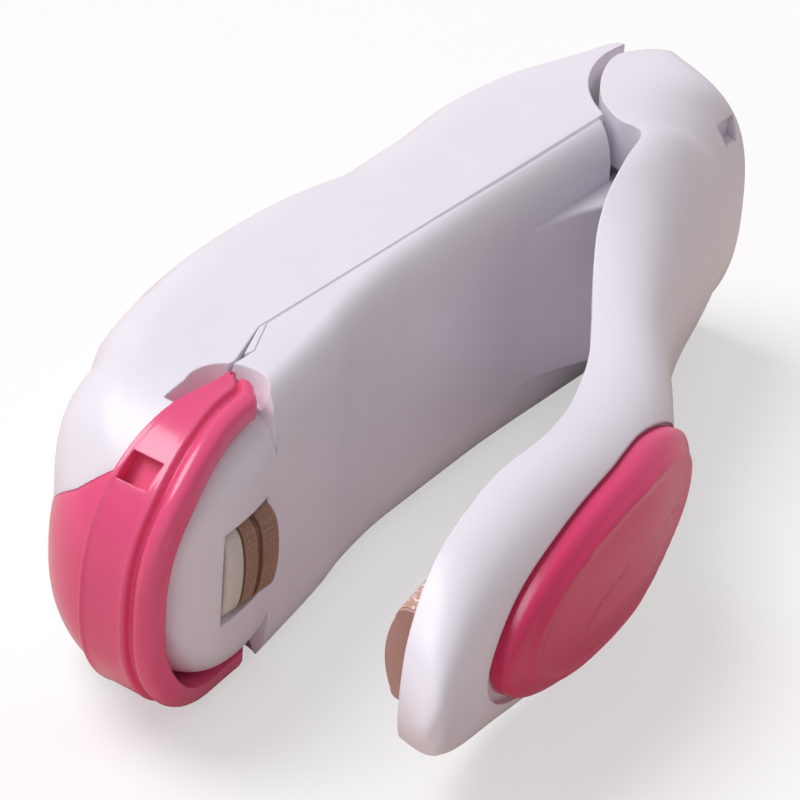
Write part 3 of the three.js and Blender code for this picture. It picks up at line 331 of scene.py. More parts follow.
WHITE = grainy("white moulded plastic", (238, 233, 243), (243, 239, 249), 0.36)
INNER = grainy("inner plastic", (222, 216, 222), (230, 225, 230), 0.5, 0.2)
PINK = grainy("pink lock plastic", (236, 78, 128), (244, 92, 142), 0.24, 0.3, 0.35)
THUMB = thumb_plastic()
STEEL = metal("drawn steel", (176, 178, 182), (206, 208, 212), 0.3)
WIRE = metal("heater wire", (96, 70, 60), (140, 112, 98), 0.34)
BRASS = metal("leaf brass", (190, 152, 78), (214, 180, 104), 0.32)
STRIP_CLOTH = woven_cloth("heater cloth", (112, 76, 58), (180, 140, 116))
PAD_CLOTH = woven_cloth("pad cloth", (176, 128, 112), (226, 184, 170), 0.36)
RUBBER = grainy(
    "pad rubber", (196, 150, 140), (206, 164, 154), 0.77, 0.3,
    cloud=3, grain=0.25, vary=0.1, depth=0.05, strength=0.6,
)
CERAMIC = grainy(
    "heater ceramic", (208, 202, 194), (222, 217, 210), 0.575,
    cloud=2, grain=0.3, vary=0.15, depth=0.03,
)
CELL = cell_wrap()


# Modelling tools, all in millimetres

def alone(piece):
    bpy.ops.object.select_all(action="DESELECT")
    piece.select_set(True)
    bpy.context.view_layer.objects.active = piece
    return piece


def edited(piece, *actions):
    """Each action is done to the whole of the piece in edit mode."""
    alone(piece)
    bpy.ops.object.mode_set(mode="EDIT")
    for action, settings in actions:
        bpy.ops.mesh.select_all(action="SELECT")
        action(**settings)
    bpy.ops.object.mode_set(mode="OBJECT")
    return piece


def made(add, **settings):
    """A basic shape with its place, turn and scale settled."""
    bpy.ops.object.select_all(action="DESELECT")
    add(**settings)
    bpy.ops.object.transform_apply(location=True, rotation=True, scale=True)
    return bpy.context.object


def bar(x, y, radius, z0, z1, sides=96):
    """A round bar across the width."""
    return made(
        bpy.ops.mesh.primitive_cylinder_add, vertices=sides, radius=radius, depth=z1 - z0,
        location=(x, y, (z0 + z1) / 2),
    )


def post(y, z, radius, x0, x1):
    """A round post that stands up from the battery side."""
    return made(
        bpy.ops.mesh.primitive_cylinder_add, vertices=48, radius=radius, depth=x1 - x0,
        location=((x0 + x1) / 2, y, z), rotation=(0, math.pi / 2, 0),
    )


def block(x0, x1, y0, y1, z0, z1):
    """A square-edged cutter or rough shape between two corners."""
    return made(
        bpy.ops.mesh.primitive_cube_add, size=1, scale=(x1 - x0, y1 - y0, z1 - z0),
        location=((x0 + x1) / 2, (y0 + y1) / 2, (z0 + z1) / 2),
    )


OUTWARD = (bpy.ops.mesh.normals_make_consistent, {"inside": False})


def prism(outline, low=WHOLE[0], high=WHOLE[1], along=False):
    """An outline pulled across the width, or along the case: a flat face is extruded."""
    piece = made(bpy.ops.mesh.primitive_circle_add, vertices=len(outline), fill_type="NGON")
    for vertex, (u, v) in zip(piece.data.vertices, outline):
        vertex.co = (u, low, v) if along else (u, v, low)
    pull = (0, high - low, 0) if along else (0, 0, high - low)
    extrude = (bpy.ops.mesh.extrude_region_move, {"TRANSFORM_OT_translate": {"value": pull}})
    return edited(piece, extrude, OUTWARD)


def weld(distance):
    return bpy.ops.mesh.remove_doubles, {"threshold": distance}


def skin(rings):
    """A closed skin over rings of points: a grid is wrapped round them and its ends are filled."""
    piece = made(
        bpy.ops.mesh.primitive_grid_add,
        x_subdivisions=len(rings[0]), y_subdivisions=len(rings) - 1,
    )
    places = [p for ring in rings for p in [*ring, ring[0]]]
    piece.data.vertices.foreach_set("co", [c for p in places for c in p])
    piece.data.update()
    return edited(piece, weld(1e-4), (bpy.ops.mesh.fill_holes, {"sides": 0}), OUTWARD)


def modified(piece, kind, **settings):
    alone(piece)
    modifier = piece.modifiers.new(kind, kind)
    for key, value in settings.items():
        setattr(modifier, key, value)
    bpy.ops.object.modifier_apply(modifier=modifier.name)
    return piece


def combine(piece, others, operation):
    """Cuts, joins or intersects a piece with others, which are then gone."""
    for other in others:
        modified(piece, "BOOLEAN", operation=operation, solver="EXACT", object=other)
        bpy.data.objects.remove(other)
    return piece


def cut(piece, *others):
    return combine(piece, others, "DIFFERENCE")


def join(piece, *others):
    return combine(piece, others, "UNION")


def common(piece, *others):
    return combine(piece, others, "INTERSECT")


def together(pieces):
    """Pieces that don't touch, as one object."""
    first = alone(pieces[0])
    for piece in pieces:
        piece.select_set(True)
    bpy.ops.object.join()
    return first


def finished(piece, name, material, body, slot, *nodes, angle=32):
    """Names a piece, gives it its finish and sets it on its body in metres."""
    piece.name = piece.data.name = name
    edited(piece, weld(2e-4))
    piece.data.transform(Matrix.Scale(METRES, 4))
    piece.data.materials.clear()
    piece.data.materials.append(material)
    bpy.ops.object.shade_smooth_by_angle(angle=math.radians(angle))
    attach(piece, body)
    if nodes:
        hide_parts(*nodes)
    return piece


# Curves through the tables

def through(rows, at):
    """A smooth value through rows of (place, value), places falling."""
    if at >= rows[0][0]:
        return rows[0][1]
    if at <= rows[-1][0]:
        return rows[-1][1]
    i = next(k for k, row in enumerate(rows) if row[0] < at) - 1

    def slope(k):
        a, b = rows[max(k - 1, 0)], rows[min(k + 1, len(rows) - 1)]
        return (b[1] - a[1]) / (b[0] - a[0])

    step = rows[i + 1][0] - rows[i][0]
    t = (at - rows[i][0]) / step
    keep = (1 + 2 * t) * (1 - t) ** 2
    return (
        keep * rows[i][1] + t * (1 - t) ** 2 * step * slope(i)
        + (1 - keep) * rows[i + 1][1] + t ** 2 * (t - 1) * step * slope(i + 1)
    )


def span(centre, half):
    return centre - half, centre + half


def steps(low, high, count):
    return [low + (high - low) * i / count for i in range(count + 1)]


def arch_share(share):
    """The half width left at a share of the way round a blunt arch."""
    return (1 - min(max(share, 0), 1) ** ARCH) ** (1 / ARCH)


def arc_at(y, reach):
    """The height of the round nose of that reach, on the battery side."""
    run = min(abs(y - LOCK.y), reach)
    return LOCK.x - math.sqrt(reach ** 2 - run ** 2)


def base_at(y):
    if y / LENGTH < BASE[-1][0]:
        return arc_at(y, TUB_REACH)
    return DEPTH * through(BASE, y / LENGTH)


def panel_at(y):
    return DEPTH * through(PANEL, y / LENGTH)


# The case

def nose_shares(first):
    """Shares of a nose's reach, closer together towards its end."""
    return [math.sin(a * math.pi / 2) for a in steps(first, NOSE_END, 26)]


def case_ring(y, x0, x1, half, low_round, high_round, broad=1):
    """A ring across the case: round corners below, broader ones beside the panel."""
    most = min((x1 - x0) / 2.2, half * 0.9)
    r0, r1 = (max(min(r, most), 0.01) for r in (low_round, high_round))
    side = min(r1 * broad, half * 0.95)
    corners = [
        (x1 - r1, MIDDLE - half + side, r1, side, -0.5),
        (x1 - r1, MIDDLE + half - side, r1, side, 0),
        (x0 + r0, MIDDLE + half - r0, r0, r0, 0.5), (x0 + r0, MIDDLE - half + r0, r0, r0, 1),
    ]
    return [
        (x + up * math.cos(a), y, z + out * math.sin(a))
        for x, z, up, out, turn in corners
        for a in [(turn + k / 24) * math.pi for k in range(13)]
    ]


def wide_case(inset):
    """The full-width case, drawn in by an inset, with the arch of the battery side in front."""
    half, reach = MIDDLE - inset, TUB_REACH - inset
    rings = [
        case_ring(
            y, base_at(y) + inset, panel_at(y) - inset, half,
            BASE_ROUND - inset, PANEL_ROUND - inset / 2, EDGE_BROAD,
        )
        for y in steps(CASE_REAR - inset, WIDE_FRONT, 84)
    ]
    for share in nose_shares(0.08):
        y = LOCK.y - share * reach
        rings.append(case_ring(
            y, base_at(y) + inset, panel_at(y) - inset, half * arch_share(share),
            BASE_ROUND - inset, PANEL_ROUND, EDGE_BROAD,
        ))
    return skin(rings)


def nose(inset):
    """The narrower nose under the visor."""
    half, reach = NOSE_WIDTH / 2 - inset, NOSE_REACH - inset
    start = COVER_FRONT + POCKET_RADIUS
    rings = [
        case_ring(
            y, arc_at(LOCK.y, NOSE_REACH) + NOSE_REACH / 2, panel_at(y) - inset, half,
            NOSE_ROUND / 2, NOSE_ROUND - inset,
        )
        for y in steps(start, LOCK.y, 10)
    ]
    for share in nose_shares(0.06):
        y = LOCK.y - share * reach
        low = max(arc_at(y, NOSE_REACH) + inset, LOCK.x - NOSE_REACH / 2)
        rings.append(case_ring(
            y, low, panel_at(y) - inset, half * arch_share(share),
            NOSE_ROUND / 2, NOSE_ROUND - inset,
        ))
    return skin(rings)


LOW_SIDE, HIGH_SIDE = -DEPTH, 2 * DEPTH
BAY_LENGTH = CELL_LENGTH + CONTACT_SPRING + 2 * CONTACT_PLATE + 4 * GAP
BAY_FRONT, BAY_REAR = span(0, BAY_LENGTH / 2)
CELL_X = max(base_at(y) for y in steps(BAY_FRONT, BAY_REAR, 5)) + WALL + GAP + CELL_RADIUS
DOOR_HALF = 2 * CELL_RADIUS + CELL_SPACING / 2 + GAP
DOOR_REAR, DOOR_FRONT = BAY_REAR - GAP, BAY_FRONT + GAP
HEATER_TOP = panel_at(HEATER_Y) + HEATER_PROUD
HEATER_FOOT = HEATER_TOP - HEATER_HEIGHT
HEATER_FACE = HEATER_TOP - STRIP_THICK - SEAT
SPRING_TOP = HEATER_FOOT - HEATER_TRAVEL - SEAT
SPRING_POST = SPRING_TOP - SPRING_LENGTH - SEAT
LEAF_TOP = HEATER_FOOT - HEATER_TRAVEL - 2 * SEAT - GAP
LEAF_Y = HEATER_Y + HEATER_ALONG / 2 + LEAF_POST * 2
SCREWS = [
    (y, z) for y in (BAY_REAR + SCREW_SETBACK, BAY_FRONT - SCREW_SETBACK)
    for z in span(MIDDLE, SCREW_SIDE)
]
TUB_OUTLINE = [
    (LOW_SIDE, -FAR), (SEAM_FRONT, -FAR), (SEAM_FRONT, LENGTH * -0.32),
    (SEAM_RISE, LENGTH * -0.255), (SEAM_RISE, LENGTH * 0.474 - OVERRUN),
    (DEPTH * 0.004, LENGTH * 0.474), (DEPTH * -0.17, CASE_REAR), (LOW_SIDE, CASE_REAR),
]
COVER_OUTLINE = [
    (HIGH_SIDE, COVER_FRONT), (HIGH_SIDE, HUB.y), (SEAM_RISE + GAP, HUB.y),
    (SEAM_RISE + GAP, LENGTH * -0.245), (SEAM_FRONT + GAP, LENGTH * -0.293),
    (SEAM_FRONT + GAP, COVER_FRONT),
]


def hub_bar(radius):
    """A cutter for the hollow in which the lever's hub turns."""
    return bar(HUB.x, HUB.y, radius, *WHOLE, 128)


def dish(x, y, z, foot, mouth, depth, towards):
    """A cutter for a round dish with a sloping wall, its floor at z."""
    return made(
        bpy.ops.mesh.primitive_cone_add, vertices=128, radius1=foot, radius2=mouth, depth=depth,
        location=(x, y, z + towards * depth / 2),
        rotation=(0 if towards > 0 else math.pi, 0, 0),
    )


def pockets(extra):
    """Dished pockets where the lock's arms turn, with a run towards the nose."""
    low = POCKET_DEPTH + extra
    foot, mouth = POCKET_FOOT + extra, POCKET_RADIUS + extra
    slope = (mouth - foot) / POCKET_DEPTH
    depth = low + OVERRUN
    run_left, front = VISOR_LEFT - RUN_EDGE - extra, COVER_FRONT - SHAVE_LAP
    cutters = []
    for z, towards in ((WIDTH - low, 1), (low, -1)):
        far = z + towards * depth
        cutters.append(dish(LOCK.x, LOCK.y, z, foot, foot + slope * depth, depth, towards))
        cutters.append(prism([
            (run_left, z), (run_left - slope * depth, far),
            (LOCK.x + RUN_LAP, far), (LOCK.x + RUN_LAP, z),
        ], LOCK.y - POCKET_RUN, LOCK.y, along=True))
        if towards > 0:  # the upper pocket also shaves the front of the wide case
            section = [
                (front, z), (front + slope * depth, far), (LOCK.y - SHAVE_REACH, far),
                (LOCK.y - SHAVE_REACH, z),
            ]
            cutters.append(skin([
                [(x, y, height) for y, height in section] for x in (SEAM_FRONT + GAP, HIGH_SIDE)
            ]))
    return cutters


def screw_holes(top_at, radius):
    """Holes for the four screws from the battery side up to top_at(y)."""
    return together([post(y, z, radius, LOW_SIDE, top_at(y)) for y, z in SCREWS])


def seam_tongue():
    """A lip that closes the seam just below the surface."""
    root, high = SEAM_RISE - TONGUE_ROOT, SEAM_RISE + GAP - TONGUE_GAP
    outline = [
        (root, LENGTH * 0.4), (high, LENGTH * 0.4), (high, LENGTH * -0.2455),
        (SEAM_FRONT + GAP - TONGUE_GAP, LENGTH * -0.2935),
        (SEAM_FRONT - TONGUE_ROOT / 2, LENGTH * -0.306), (root, LENGTH * -0.25),
    ]
    lip = common(cut(wide_case(TONGUE_SUNK), wide_case(WALL)), prism(outline))
    return cut(lip, hub_bar(COVER_RADIUS))


def base_tub():
    """The lower shell with its cell bay, bosses and posts."""
    cavity_outline = [
        (LOW_SIDE, -FAR), (SEAM_FRONT - WALL, -FAR), (SEAM_FRONT - WALL, COVER_FRONT + WALL),
        (HIGH_SIDE, COVER_FRONT + WALL), (HIGH_SIDE, FAR), (LOW_SIDE, FAR),
    ]
    cavity = cut(
        common(wide_case(WALL), prism(cavity_outline)),
        hub_bar(LIP_RADIUS + WALL), *pockets(WALL),
    )
    well = common(nose(WALL), block(
        LOCK.x - NOSE_REACH / 2, HIGH_SIDE, LOCK.y - NOSE_REACH, COVER_FRONT + WALL + OVERRUN,
        *WHOLE,
    ))
    tub = cut(
        common(wide_case(0), prism(TUB_OUTLINE)),
        cavity, well, hub_bar(LIP_RADIUS), *pockets(0),
    )
    top = CELL_X + CELL_RADIUS
    wire_way = block(
        top - CELL_RADIUS / 3, HIGH_SIDE, BAY_FRONT - OVERRUN, BAY_REAR + OVERRUN,
        *span(MIDDLE, CELL_RADIUS / 2),
    )
    boss = SCREW_HEAD + GAP + BOSS_WALL
    walls = cut(together([
        block(LOW_SIDE, top, BAY_FRONT - BAY_WALL, BAY_FRONT, *WHOLE),
        block(LOW_SIDE, top, BAY_REAR, BAY_REAR + BAY_WALL, *WHOLE),
    ]), wire_way)
    posts = together([
        *[post(y, z, boss, LOW_SIDE, SEAM_RISE) for y, z in SCREWS],
        *[post(HEATER_Y, z, SPRING_RADIUS, LOW_SIDE, SPRING_POST)
          for z in span(MIDDLE, SPRING_SPACING / 2)],
    ])
    leaf_post = cut(
        block(
            LOW_SIDE, LEAF_TOP + LEAF_THICK + GAP, LEAF_Y, LEAF_Y + LEAF_POST,
            *span(MIDDLE, LEAF_WIDTH),
        ),
        *[block(
            x - SEAT, x + LEAF_THICK + SEAT, LEAF_Y - OVERRUN, LEAF_Y + LEAF_POST + OVERRUN,
            *span(MIDDLE, LEAF_WIDTH / 2 + SEAT),
        ) for x in (LEAF_TOP, LEAF_TOP - LEAF_SPACING)],
    )
    inner = common(join(walls, posts, leaf_post), wide_case(WALL / 2))
    tub = join(tub, inner, seam_tongue())
    doorway = block(
        LOW_SIDE, CELL_X, DOOR_FRONT - GAP, DOOR_REAR + GAP, *span(MIDDLE, DOOR_HALF + GAP),
    )
    return cut(
        tub, doorway, screw_holes(lambda y: HIGH_SIDE, SCREW_RADIUS + GAP),
        screw_holes(lambda y: SEAM_RISE - SCREW_ENGAGE, SCREW_HEAD + GAP),
    )


def battery_door():
    """A curved panel of the case's own skin that closes the cell bay."""
    return common(cut(wide_case(0), wide_case(WALL)), block(
        LOW_SIDE, CELL_X, DOOR_FRONT, DOOR_REAR, *span(MIDDLE, DOOR_HALF),
    ))


RAMP_START, RAMP_END = LENGTH * 0.14, LENGTH * 0.32
RAMP_TOP = panel_at(RAMP_END) + RAMP_HEIGHT
LUG_HALF = LUG_SPACING / 2 + LUG_THICK


def hinge_lugs():
    """The ramp that rises out of the panel and the two lugs that carry the hinge pin."""
    foot = SEAM_RISE + 2 * GAP
    rise = [
        (panel_at(y) - SEAT + (RAMP_HEIGHT + SEAT) * share ** 2, y)
        for share, y in zip(steps(0, 1, 24), steps(RAMP_START, RAMP_END, 24))
    ]
    ramp = prism(
        [(foot, RAMP_START), *rise, (foot, RAMP_END)], *span(MIDDLE, RAMP_WIDTH / 2),
    )
    arc = [
        (HINGE.x + LUG_RADIUS * math.cos(a), HINGE.y + LUG_RADIUS * math.sin(a))
        for a in [turn * math.pi for turn in steps(-0.03, 1.1, 32)]
    ]
    outline = [
        (foot, RAMP_END - WALL), (RAMP_TOP, RAMP_END - WALL), (RAMP_TOP, RAMP_END + GAP), *arc,
        (foot, HINGE.y + LUG_RADIUS),
    ]
    lugs = [
        prism(outline, *sorted((MIDDLE + side * LUG_HALF, MIDDLE + side * LUG_SPACING / 2)))
        for side in (-1, 1)
    ]
    modified(
        ramp, "BEVEL", width=RAMP_ROUND, segments=4, limit_method="ANGLE",
        angle_limit=math.radians(60),
    )
    return join(ramp, together(lugs))


def top_cover():
    """The upper shell with the nose, the lock's pins and the heater's window."""
    wide = cut(common(wide_case(0), prism(COVER_OUTLINE)), hub_bar(COVER_RADIUS))
    front = common(nose(0), block(SEAM_FRONT + GAP, HIGH_SIDE, -FAR, COVER_FRONT + WALL, *WHOLE))
    inside = common(wide_case(WALL), block(LOW_SIDE, HIGH_SIDE, COVER_FRONT + WALL, FAR, *WHOLE))
    cavity = cut(inside, hub_bar(COVER_RADIUS + WALL), *pockets(WALL))
    nose_cavity = common(nose(WALL), block(
        LOW_SIDE, HIGH_SIDE, -FAR, COVER_FRONT + WALL + SEAT, *WHOLE,
    ))
    turn = COVER_FRONT + CORNER_ROUND
    corner = cut(
        block(SEAM_FRONT + GAP, HIGH_SIDE, COVER_FRONT - 1, turn, -OVERRUN, CORNER_ROUND),
        post(turn, CORNER_ROUND, CORNER_ROUND, SEAM_FRONT - 1, HIGH_SIDE + 1),
    )
    shell = cut(join(cut(wide, corner), front), cavity, nose_cavity, *pockets(0))
    bosses = common(together([
        post(y, z, SCREW_RADIUS + GAP + BOSS_WALL, SEAM_RISE + GAP, panel_at(y) - WALL / 2)
        for y, z in SCREWS
    ]), prism(COVER_OUTLINE))
    tip, root = ARM_SKIN + GAP, POCKET_DEPTH + WALL / 2
    pins = together([
        bar(LOCK.x, LOCK.y, LOCK_PIN_RADIUS, low, high, 48)
        for low, high in ((WIDTH - root, WIDTH - tip), (tip, root))
    ])
    window = block(
        HEATER_FOOT - HEATER_FLANGE, HIGH_SIDE,
        *span(HEATER_Y, HEATER_ALONG / 2 + GAP), *span(MIDDLE, HEATER_ACROSS / 2 + GAP),
    )
    body = join(shell, bosses, pins, hinge_lugs())
    return cut(
        body, window, bar(HINGE.x, HINGE.y, HINGE_PIN_RADIUS + GAP, *WHOLE, 48),
        screw_holes(lambda y: panel_at(y) - WALL / 2, SCREW_RADIUS + GAP),
    )


# The lever

LEVER_REACH = HINGE.y - LOCK.y + NOSE_REACH
FINE = 6
HOLLOW_START, HUB_END, PAD_START, HOLLOW_END, PAD_END = (FINE * k for k in (1, 5, 10, 19, 20))
NOTCH = ((-0.0755, 0.082), (-0.0327, 0.082), (-0.0556, 0.19))
NOTCH_SIDES = (WIDTH * 0.765, WIDTH * 0.845)


def between(p0, p1, p2, p3, t):
    """A smooth value from p1 to p2, led by the values beside them."""
    return 0.5 * (
        2 * p1 + (p2 - p0) * t + (2 * p0 - 5 * p1 + 4 * p2 - p3) * t * t
        + (3 * p1 - p0 - 3 * p2 + p3) * t ** 3
    )


def lever_rows():
    """Smooth sections through the table, and others that round off the tip."""
    rows = []
    last = len(LEVER) - 1
    for i in range(last):
        near = [LEVER[min(max(k, 0), last)] for k in range(i - 1, i + 3)]
        for t in steps(0, 1, FINE)[:-1]:
            rows.append([between(*values, t) for values in zip(*near)])
    tip, end = rows[-FINE], LEVER[-1]
    rows = rows[:-FINE + 1]
    for closing in steps(1, TIP_LEFT, 13)[1:]:
        row = [p + (q - p) * (1 - closing ** TIP_CURVE) for p, q in zip(tip, end)]
        drawn = TIP_DRAWN * (1 - closing) ** 1.5
        row[2], row[3] = row[2] + (row[0] - row[2]) * drawn, row[3] + (row[1] - row[3]) * drawn
        row[4] = tip[4] * closing
        rows.append(row)
    return [
        {
            "foot": Vector((HINGE.x + LEVER_RISE * r[1], HINGE.y - LEVER_REACH * r[0])),
            "crest": Vector((HINGE.x + LEVER_RISE * r[3], HINGE.y - LEVER_REACH * r[2])),
            "half": MIDDLE * min(r[4], 1), "square": r[5],
        }
        for r in rows
    ]


ROWS = lever_rows()


def lever_ring(row, inset, foot_shift, skirt=0, half=None, square=None):
    """A ring round one section, drawn in by an inset, its foot raised or given a skirt."""
    up = (row["crest"] - row["foot"]).normalized()
    depth = (row["crest"] - row["foot"]).length - inset - foot_shift
    foot = row["foot"] + up * foot_shift
    wide = (half or row["half"]) - inset
    power = 2 / (square or row["square"])
    ring = []
    if skirt:
        low = foot - up * skirt
        ring += [(low.x, low.y, MIDDLE - wide), (low.x, low.y, MIDDLE + wide)]
    for a in steps(0, math.pi, 56):
        out = abs(math.cos(a)) ** power * math.copysign(1, math.cos(a))
        p = foot + up * (depth * max(math.sin(a), 0) ** power)
        ring.append((p.x, p.y, MIDDLE + wide * out))
    return ring


def lever_at(y):
    """The lever's section whose crest lies at y."""
    def follow(pick):
        return through([(row["crest"].y, pick(row)) for row in ROWS[2 * FINE:]], y)

    return {
        "foot": Vector((follow(lambda r: r["foot"].x), follow(lambda r: r["foot"].y))),
        "crest": Vector((follow(lambda r: r["crest"].x), y)),
        "half": follow(lambda r: r["half"]), "square": follow(lambda r: r["square"]),
    }


def on_lever(row, out, rise):
    """A point on the lever's back, out from its middle, raised along its section."""
    share = min(abs(out) / row["half"], 1)
    up = row["crest"] - row["foot"]
    high = up.length * (1 - share ** row["square"]) ** (1 / row["square"]) + rise
    p = row["foot"] + up.normalized() * high
    return (p.x, p.y, MIDDLE + out)


THUMB_REAR, THUMB_FRONT = HINGE.y - LEVER_REACH * 0.385, HINGE.y - LEVER_REACH * 0.865
LENS_ENDS = (0.012, 0.988)
SHOULDER, SHOULDER_CURVE = 0.5, 0.55
# The dip's middle, reach, rim and open side, as shares of the lens
DIP_ALONG, DIP_ACROSS, DIP_REACH = 0.17, -0.46, (0.57, 0.56)
DIP_RIM, DIP_SLOPE, DIP_SIDE, DIP_FADE = 1.04, 0.09, -0.42, 0.4


def thumb_lens(grow, low, top, front, stations, across_steps):
    """An oval lens on the back of the lever, from its floor up to top(along, across)."""
    first, last = THUMB_REAR + grow, THUMB_FRONT - grow + front
    rings = []
    for turn in [math.pi * t for t in steps(*LENS_ENDS, stations)]:
        row = lever_at((first + last) / 2 + (first - last) / 2 * math.cos(turn))
        side = (THUMB_WIDTH / 2 + grow) * math.sin(turn)
        upper, lower = [], []
        for t in steps(-0.5, 0.5, across_steps):
            across = math.sin(t * math.pi)
            rise = top(math.cos(turn), across * math.sin(turn))
            upper.append(on_lever(row, side * across, rise))
            lower.append(on_lever(row, -side * across, low))
        rings.append(upper + lower)
    return skin(rings)


def lever_shell():
    """The lever, hollow below, with a slot for the lugs and a thumb recess."""
    outer = skin([lever_ring(row, 0, 0) for row in ROWS])
    hub_rows = ROWS[HOLLOW_START:HUB_END + FINE + 1]
    hub_hollow = skin([lever_ring(row, CHEEK, LEVER_WALL) for row in hub_rows])
    open_hollow = skin([
        lever_ring(row, LEVER_WALL, 0, OVERRUN) for row in ROWS[HUB_END:HOLLOW_END + 1]
    ])
    slot = skin([
        lever_ring(row, LEVER_WALL, -OVERRUN, half=SLOT_HALF, square=SLOT_SQUARE)
        for row in hub_rows
    ])
    recess = thumb_lens(
        THUMB_RIM, -THUMB_RECESS, lambda along, across: THUMB_PROUD + OVERRUN, 0, 60, 20,
    )
    pin = bar(
        HINGE.x, HINGE.y, HINGE_PIN_RADIUS + GAP, *span(MIDDLE, HINGE_PIN_LENGTH / 2 + GAP), 48,
    )
    notch = prism([
        (HINGE.x + LEVER_RISE * up, HINGE.y - LEVER_REACH * along) for along, up in NOTCH
    ], *NOTCH_SIDES)
    return cut(outer, hub_hollow, open_hollow, slot, recess, pin, notch)


def eased(share):
    """A share from 0 to 1 that starts and ends gently."""
    share = min(max(share, 0), 1)
    return share * share * (3 - 2 * share)


def thumb_top(along, across):
    """The pad's height: a steep shoulder, a ridge inside it and an oval dip for the thumb."""
    inside = math.sqrt(max(1 - along * along - across * across, 0))
    rise = THUMB_EDGE + (THUMB_PROUD - THUMB_EDGE) * min(inside / SHOULDER, 1) ** SHOULDER_CURVE
    ridge = RIDGE_HIGH * math.exp(-((inside - RIDGE_PLACE) / RIDGE_BROAD) ** 2)
    oval = math.hypot(
        (along - DIP_ALONG) / DIP_REACH[0], (across - DIP_ACROSS) / DIP_REACH[1],
    )
    dip = eased((DIP_RIM - oval) / DIP_SLOPE) * eased((across - DIP_SIDE) / DIP_FADE)
    return rise + ridge - DIP_DEPTH * dip


def thumb_pad():
    return thumb_lens(0, SEAT - THUMB_RECESS, thumb_top, THUMB_LEDGE, 110, 56)


# The pressing pad, drawn on the closed heater and swung open with the lever

PAD_RIM = Vector((LEVER_RISE * LEVER[17][1], -LEVER_REACH * LEVER[17][0]))
CLOSE_ANGLE = math.atan2(PAD_RIM.x, -PAD_RIM.y) - math.asin(
    (HEATER_TOP + PAD_PROUD - HINGE.x) / PAD_RIM.length
)
PAD_FACE = HEATER_TOP + SEAT
PAD_Y = HEATER_Y - PAD_AHEAD
PAD_ROOT = PAD_FACE + LEVER_RISE / 4


def swing(piece):
    """Turns a piece from the closed lever's place to the open lever's."""
    hinge = Matrix.Translation((HINGE.x, HINGE.y, 0))
    piece.data.transform(hinge @ Matrix.Rotation(CLOSE_ANGLE, 4, "Z") @ hinge.inverted())
    return piece


def pad_block(low, high, shrink, ends):
    """A block with a bowed face and rounded shoulders, its two ends drawn in."""
    half = PAD_ACROSS / 2 - shrink
    front, rear = span(PAD_Y, PAD_ALONG / 2 - ends)
    corner = [
        (low + PAD_BOW + PAD_ROUND * (1 - math.sin(a)), half - PAD_ROUND * (1 - math.cos(a)))
        for a in steps(0, math.pi / 2, 8)
    ]
    flat = half - PAD_ROUND
    face = [(low + PAD_BOW * s ** 2, MIDDLE + flat * s) for s in steps(-1, 1, 16)]
    left = [(x, MIDDLE - z) for x, z in corner]
    right = [(x, MIDDLE + z) for x, z in reversed(corner)]
    outline = [(high, MIDDLE - half), *left[:-1], *face, *right[1:], (high, MIDDLE + half)]
    return swing(prism(outline, front, rear, along=True))


def above_rim():
    """All that lies further in than the lever's rim."""
    rings, (low, high) = [], WHOLE
    for row in ROWS[PAD_START:PAD_END + 1]:
        up = (row["crest"] - row["foot"]).normalized()
        a, b = row["foot"] + up * RIM_FIT, row["foot"] + up * LEVER_RISE
        rings.append([(p.x, p.y, z) for p, z in ((a, low), (b, low), (b, high), (a, high))])
    return skin(rings)


def press_pad():
    """The rubber core, with an end plate at each side flush with the cloth."""
    core = pad_block(PAD_FACE + CLOTH + PAD_FIT, PAD_ROOT, CLOTH + PAD_FIT, SEAT)
    faces = common(
        pad_block(PAD_FACE + PAD_FIT, PAD_ROOT, PAD_FIT, 0),
        cut(swing(block(-FAR, FAR, -FAR, FAR, *WHOLE)), swing(block(
            -2 * FAR, 2 * FAR, *span(PAD_Y, PAD_ALONG / 2 - CLOTH), -WIDTH, 2 * WIDTH,
        ))),
    )
    return cut(join(core, faces), above_rim())


def pad_cloth():
    """The cloth goes round the pad's face and sides and is open at its two ends."""
    return cut(
        pad_block(PAD_FACE, PAD_ROOT, 0, CLOTH + PAD_FIT),
        pad_block(PAD_FACE + CLOTH, PAD_ROOT + OVERRUN, CLOTH, -OVERRUN),
        above_rim(),
    )


# The heater

STRIP_FRONT = HEATER_Y - HEATER_ALONG / 2 + HEATER_BAR + GAP
STRIP_REAR = HEATER_Y + HEATER_ALONG / 2
RIBBON_Y = STRIP_FRONT + (STRIP_REAR - STRIP_FRONT) * RIBBON_SHARE


def heater_arch(x):
    """The heater's top across the width: a low crown with its two ends rounded well down."""
    half = HEATER_ACROSS / 2
    return [
        (x - HEATER_CROWN * s ** 2 - HEATER_ENDS * abs(s) ** ENDS_CURVE, MIDDLE + half * s)
        for s in [math.sin(a) for a in steps(-math.pi / 2, math.pi / 2, 36)]
    ]


def crown_sheet(y0, y1, under, over):
    """A sheet that follows the heater's top."""
    return prism([*heater_arch(under)[::-1], *heater_arch(over)], y0, y1, along=True)


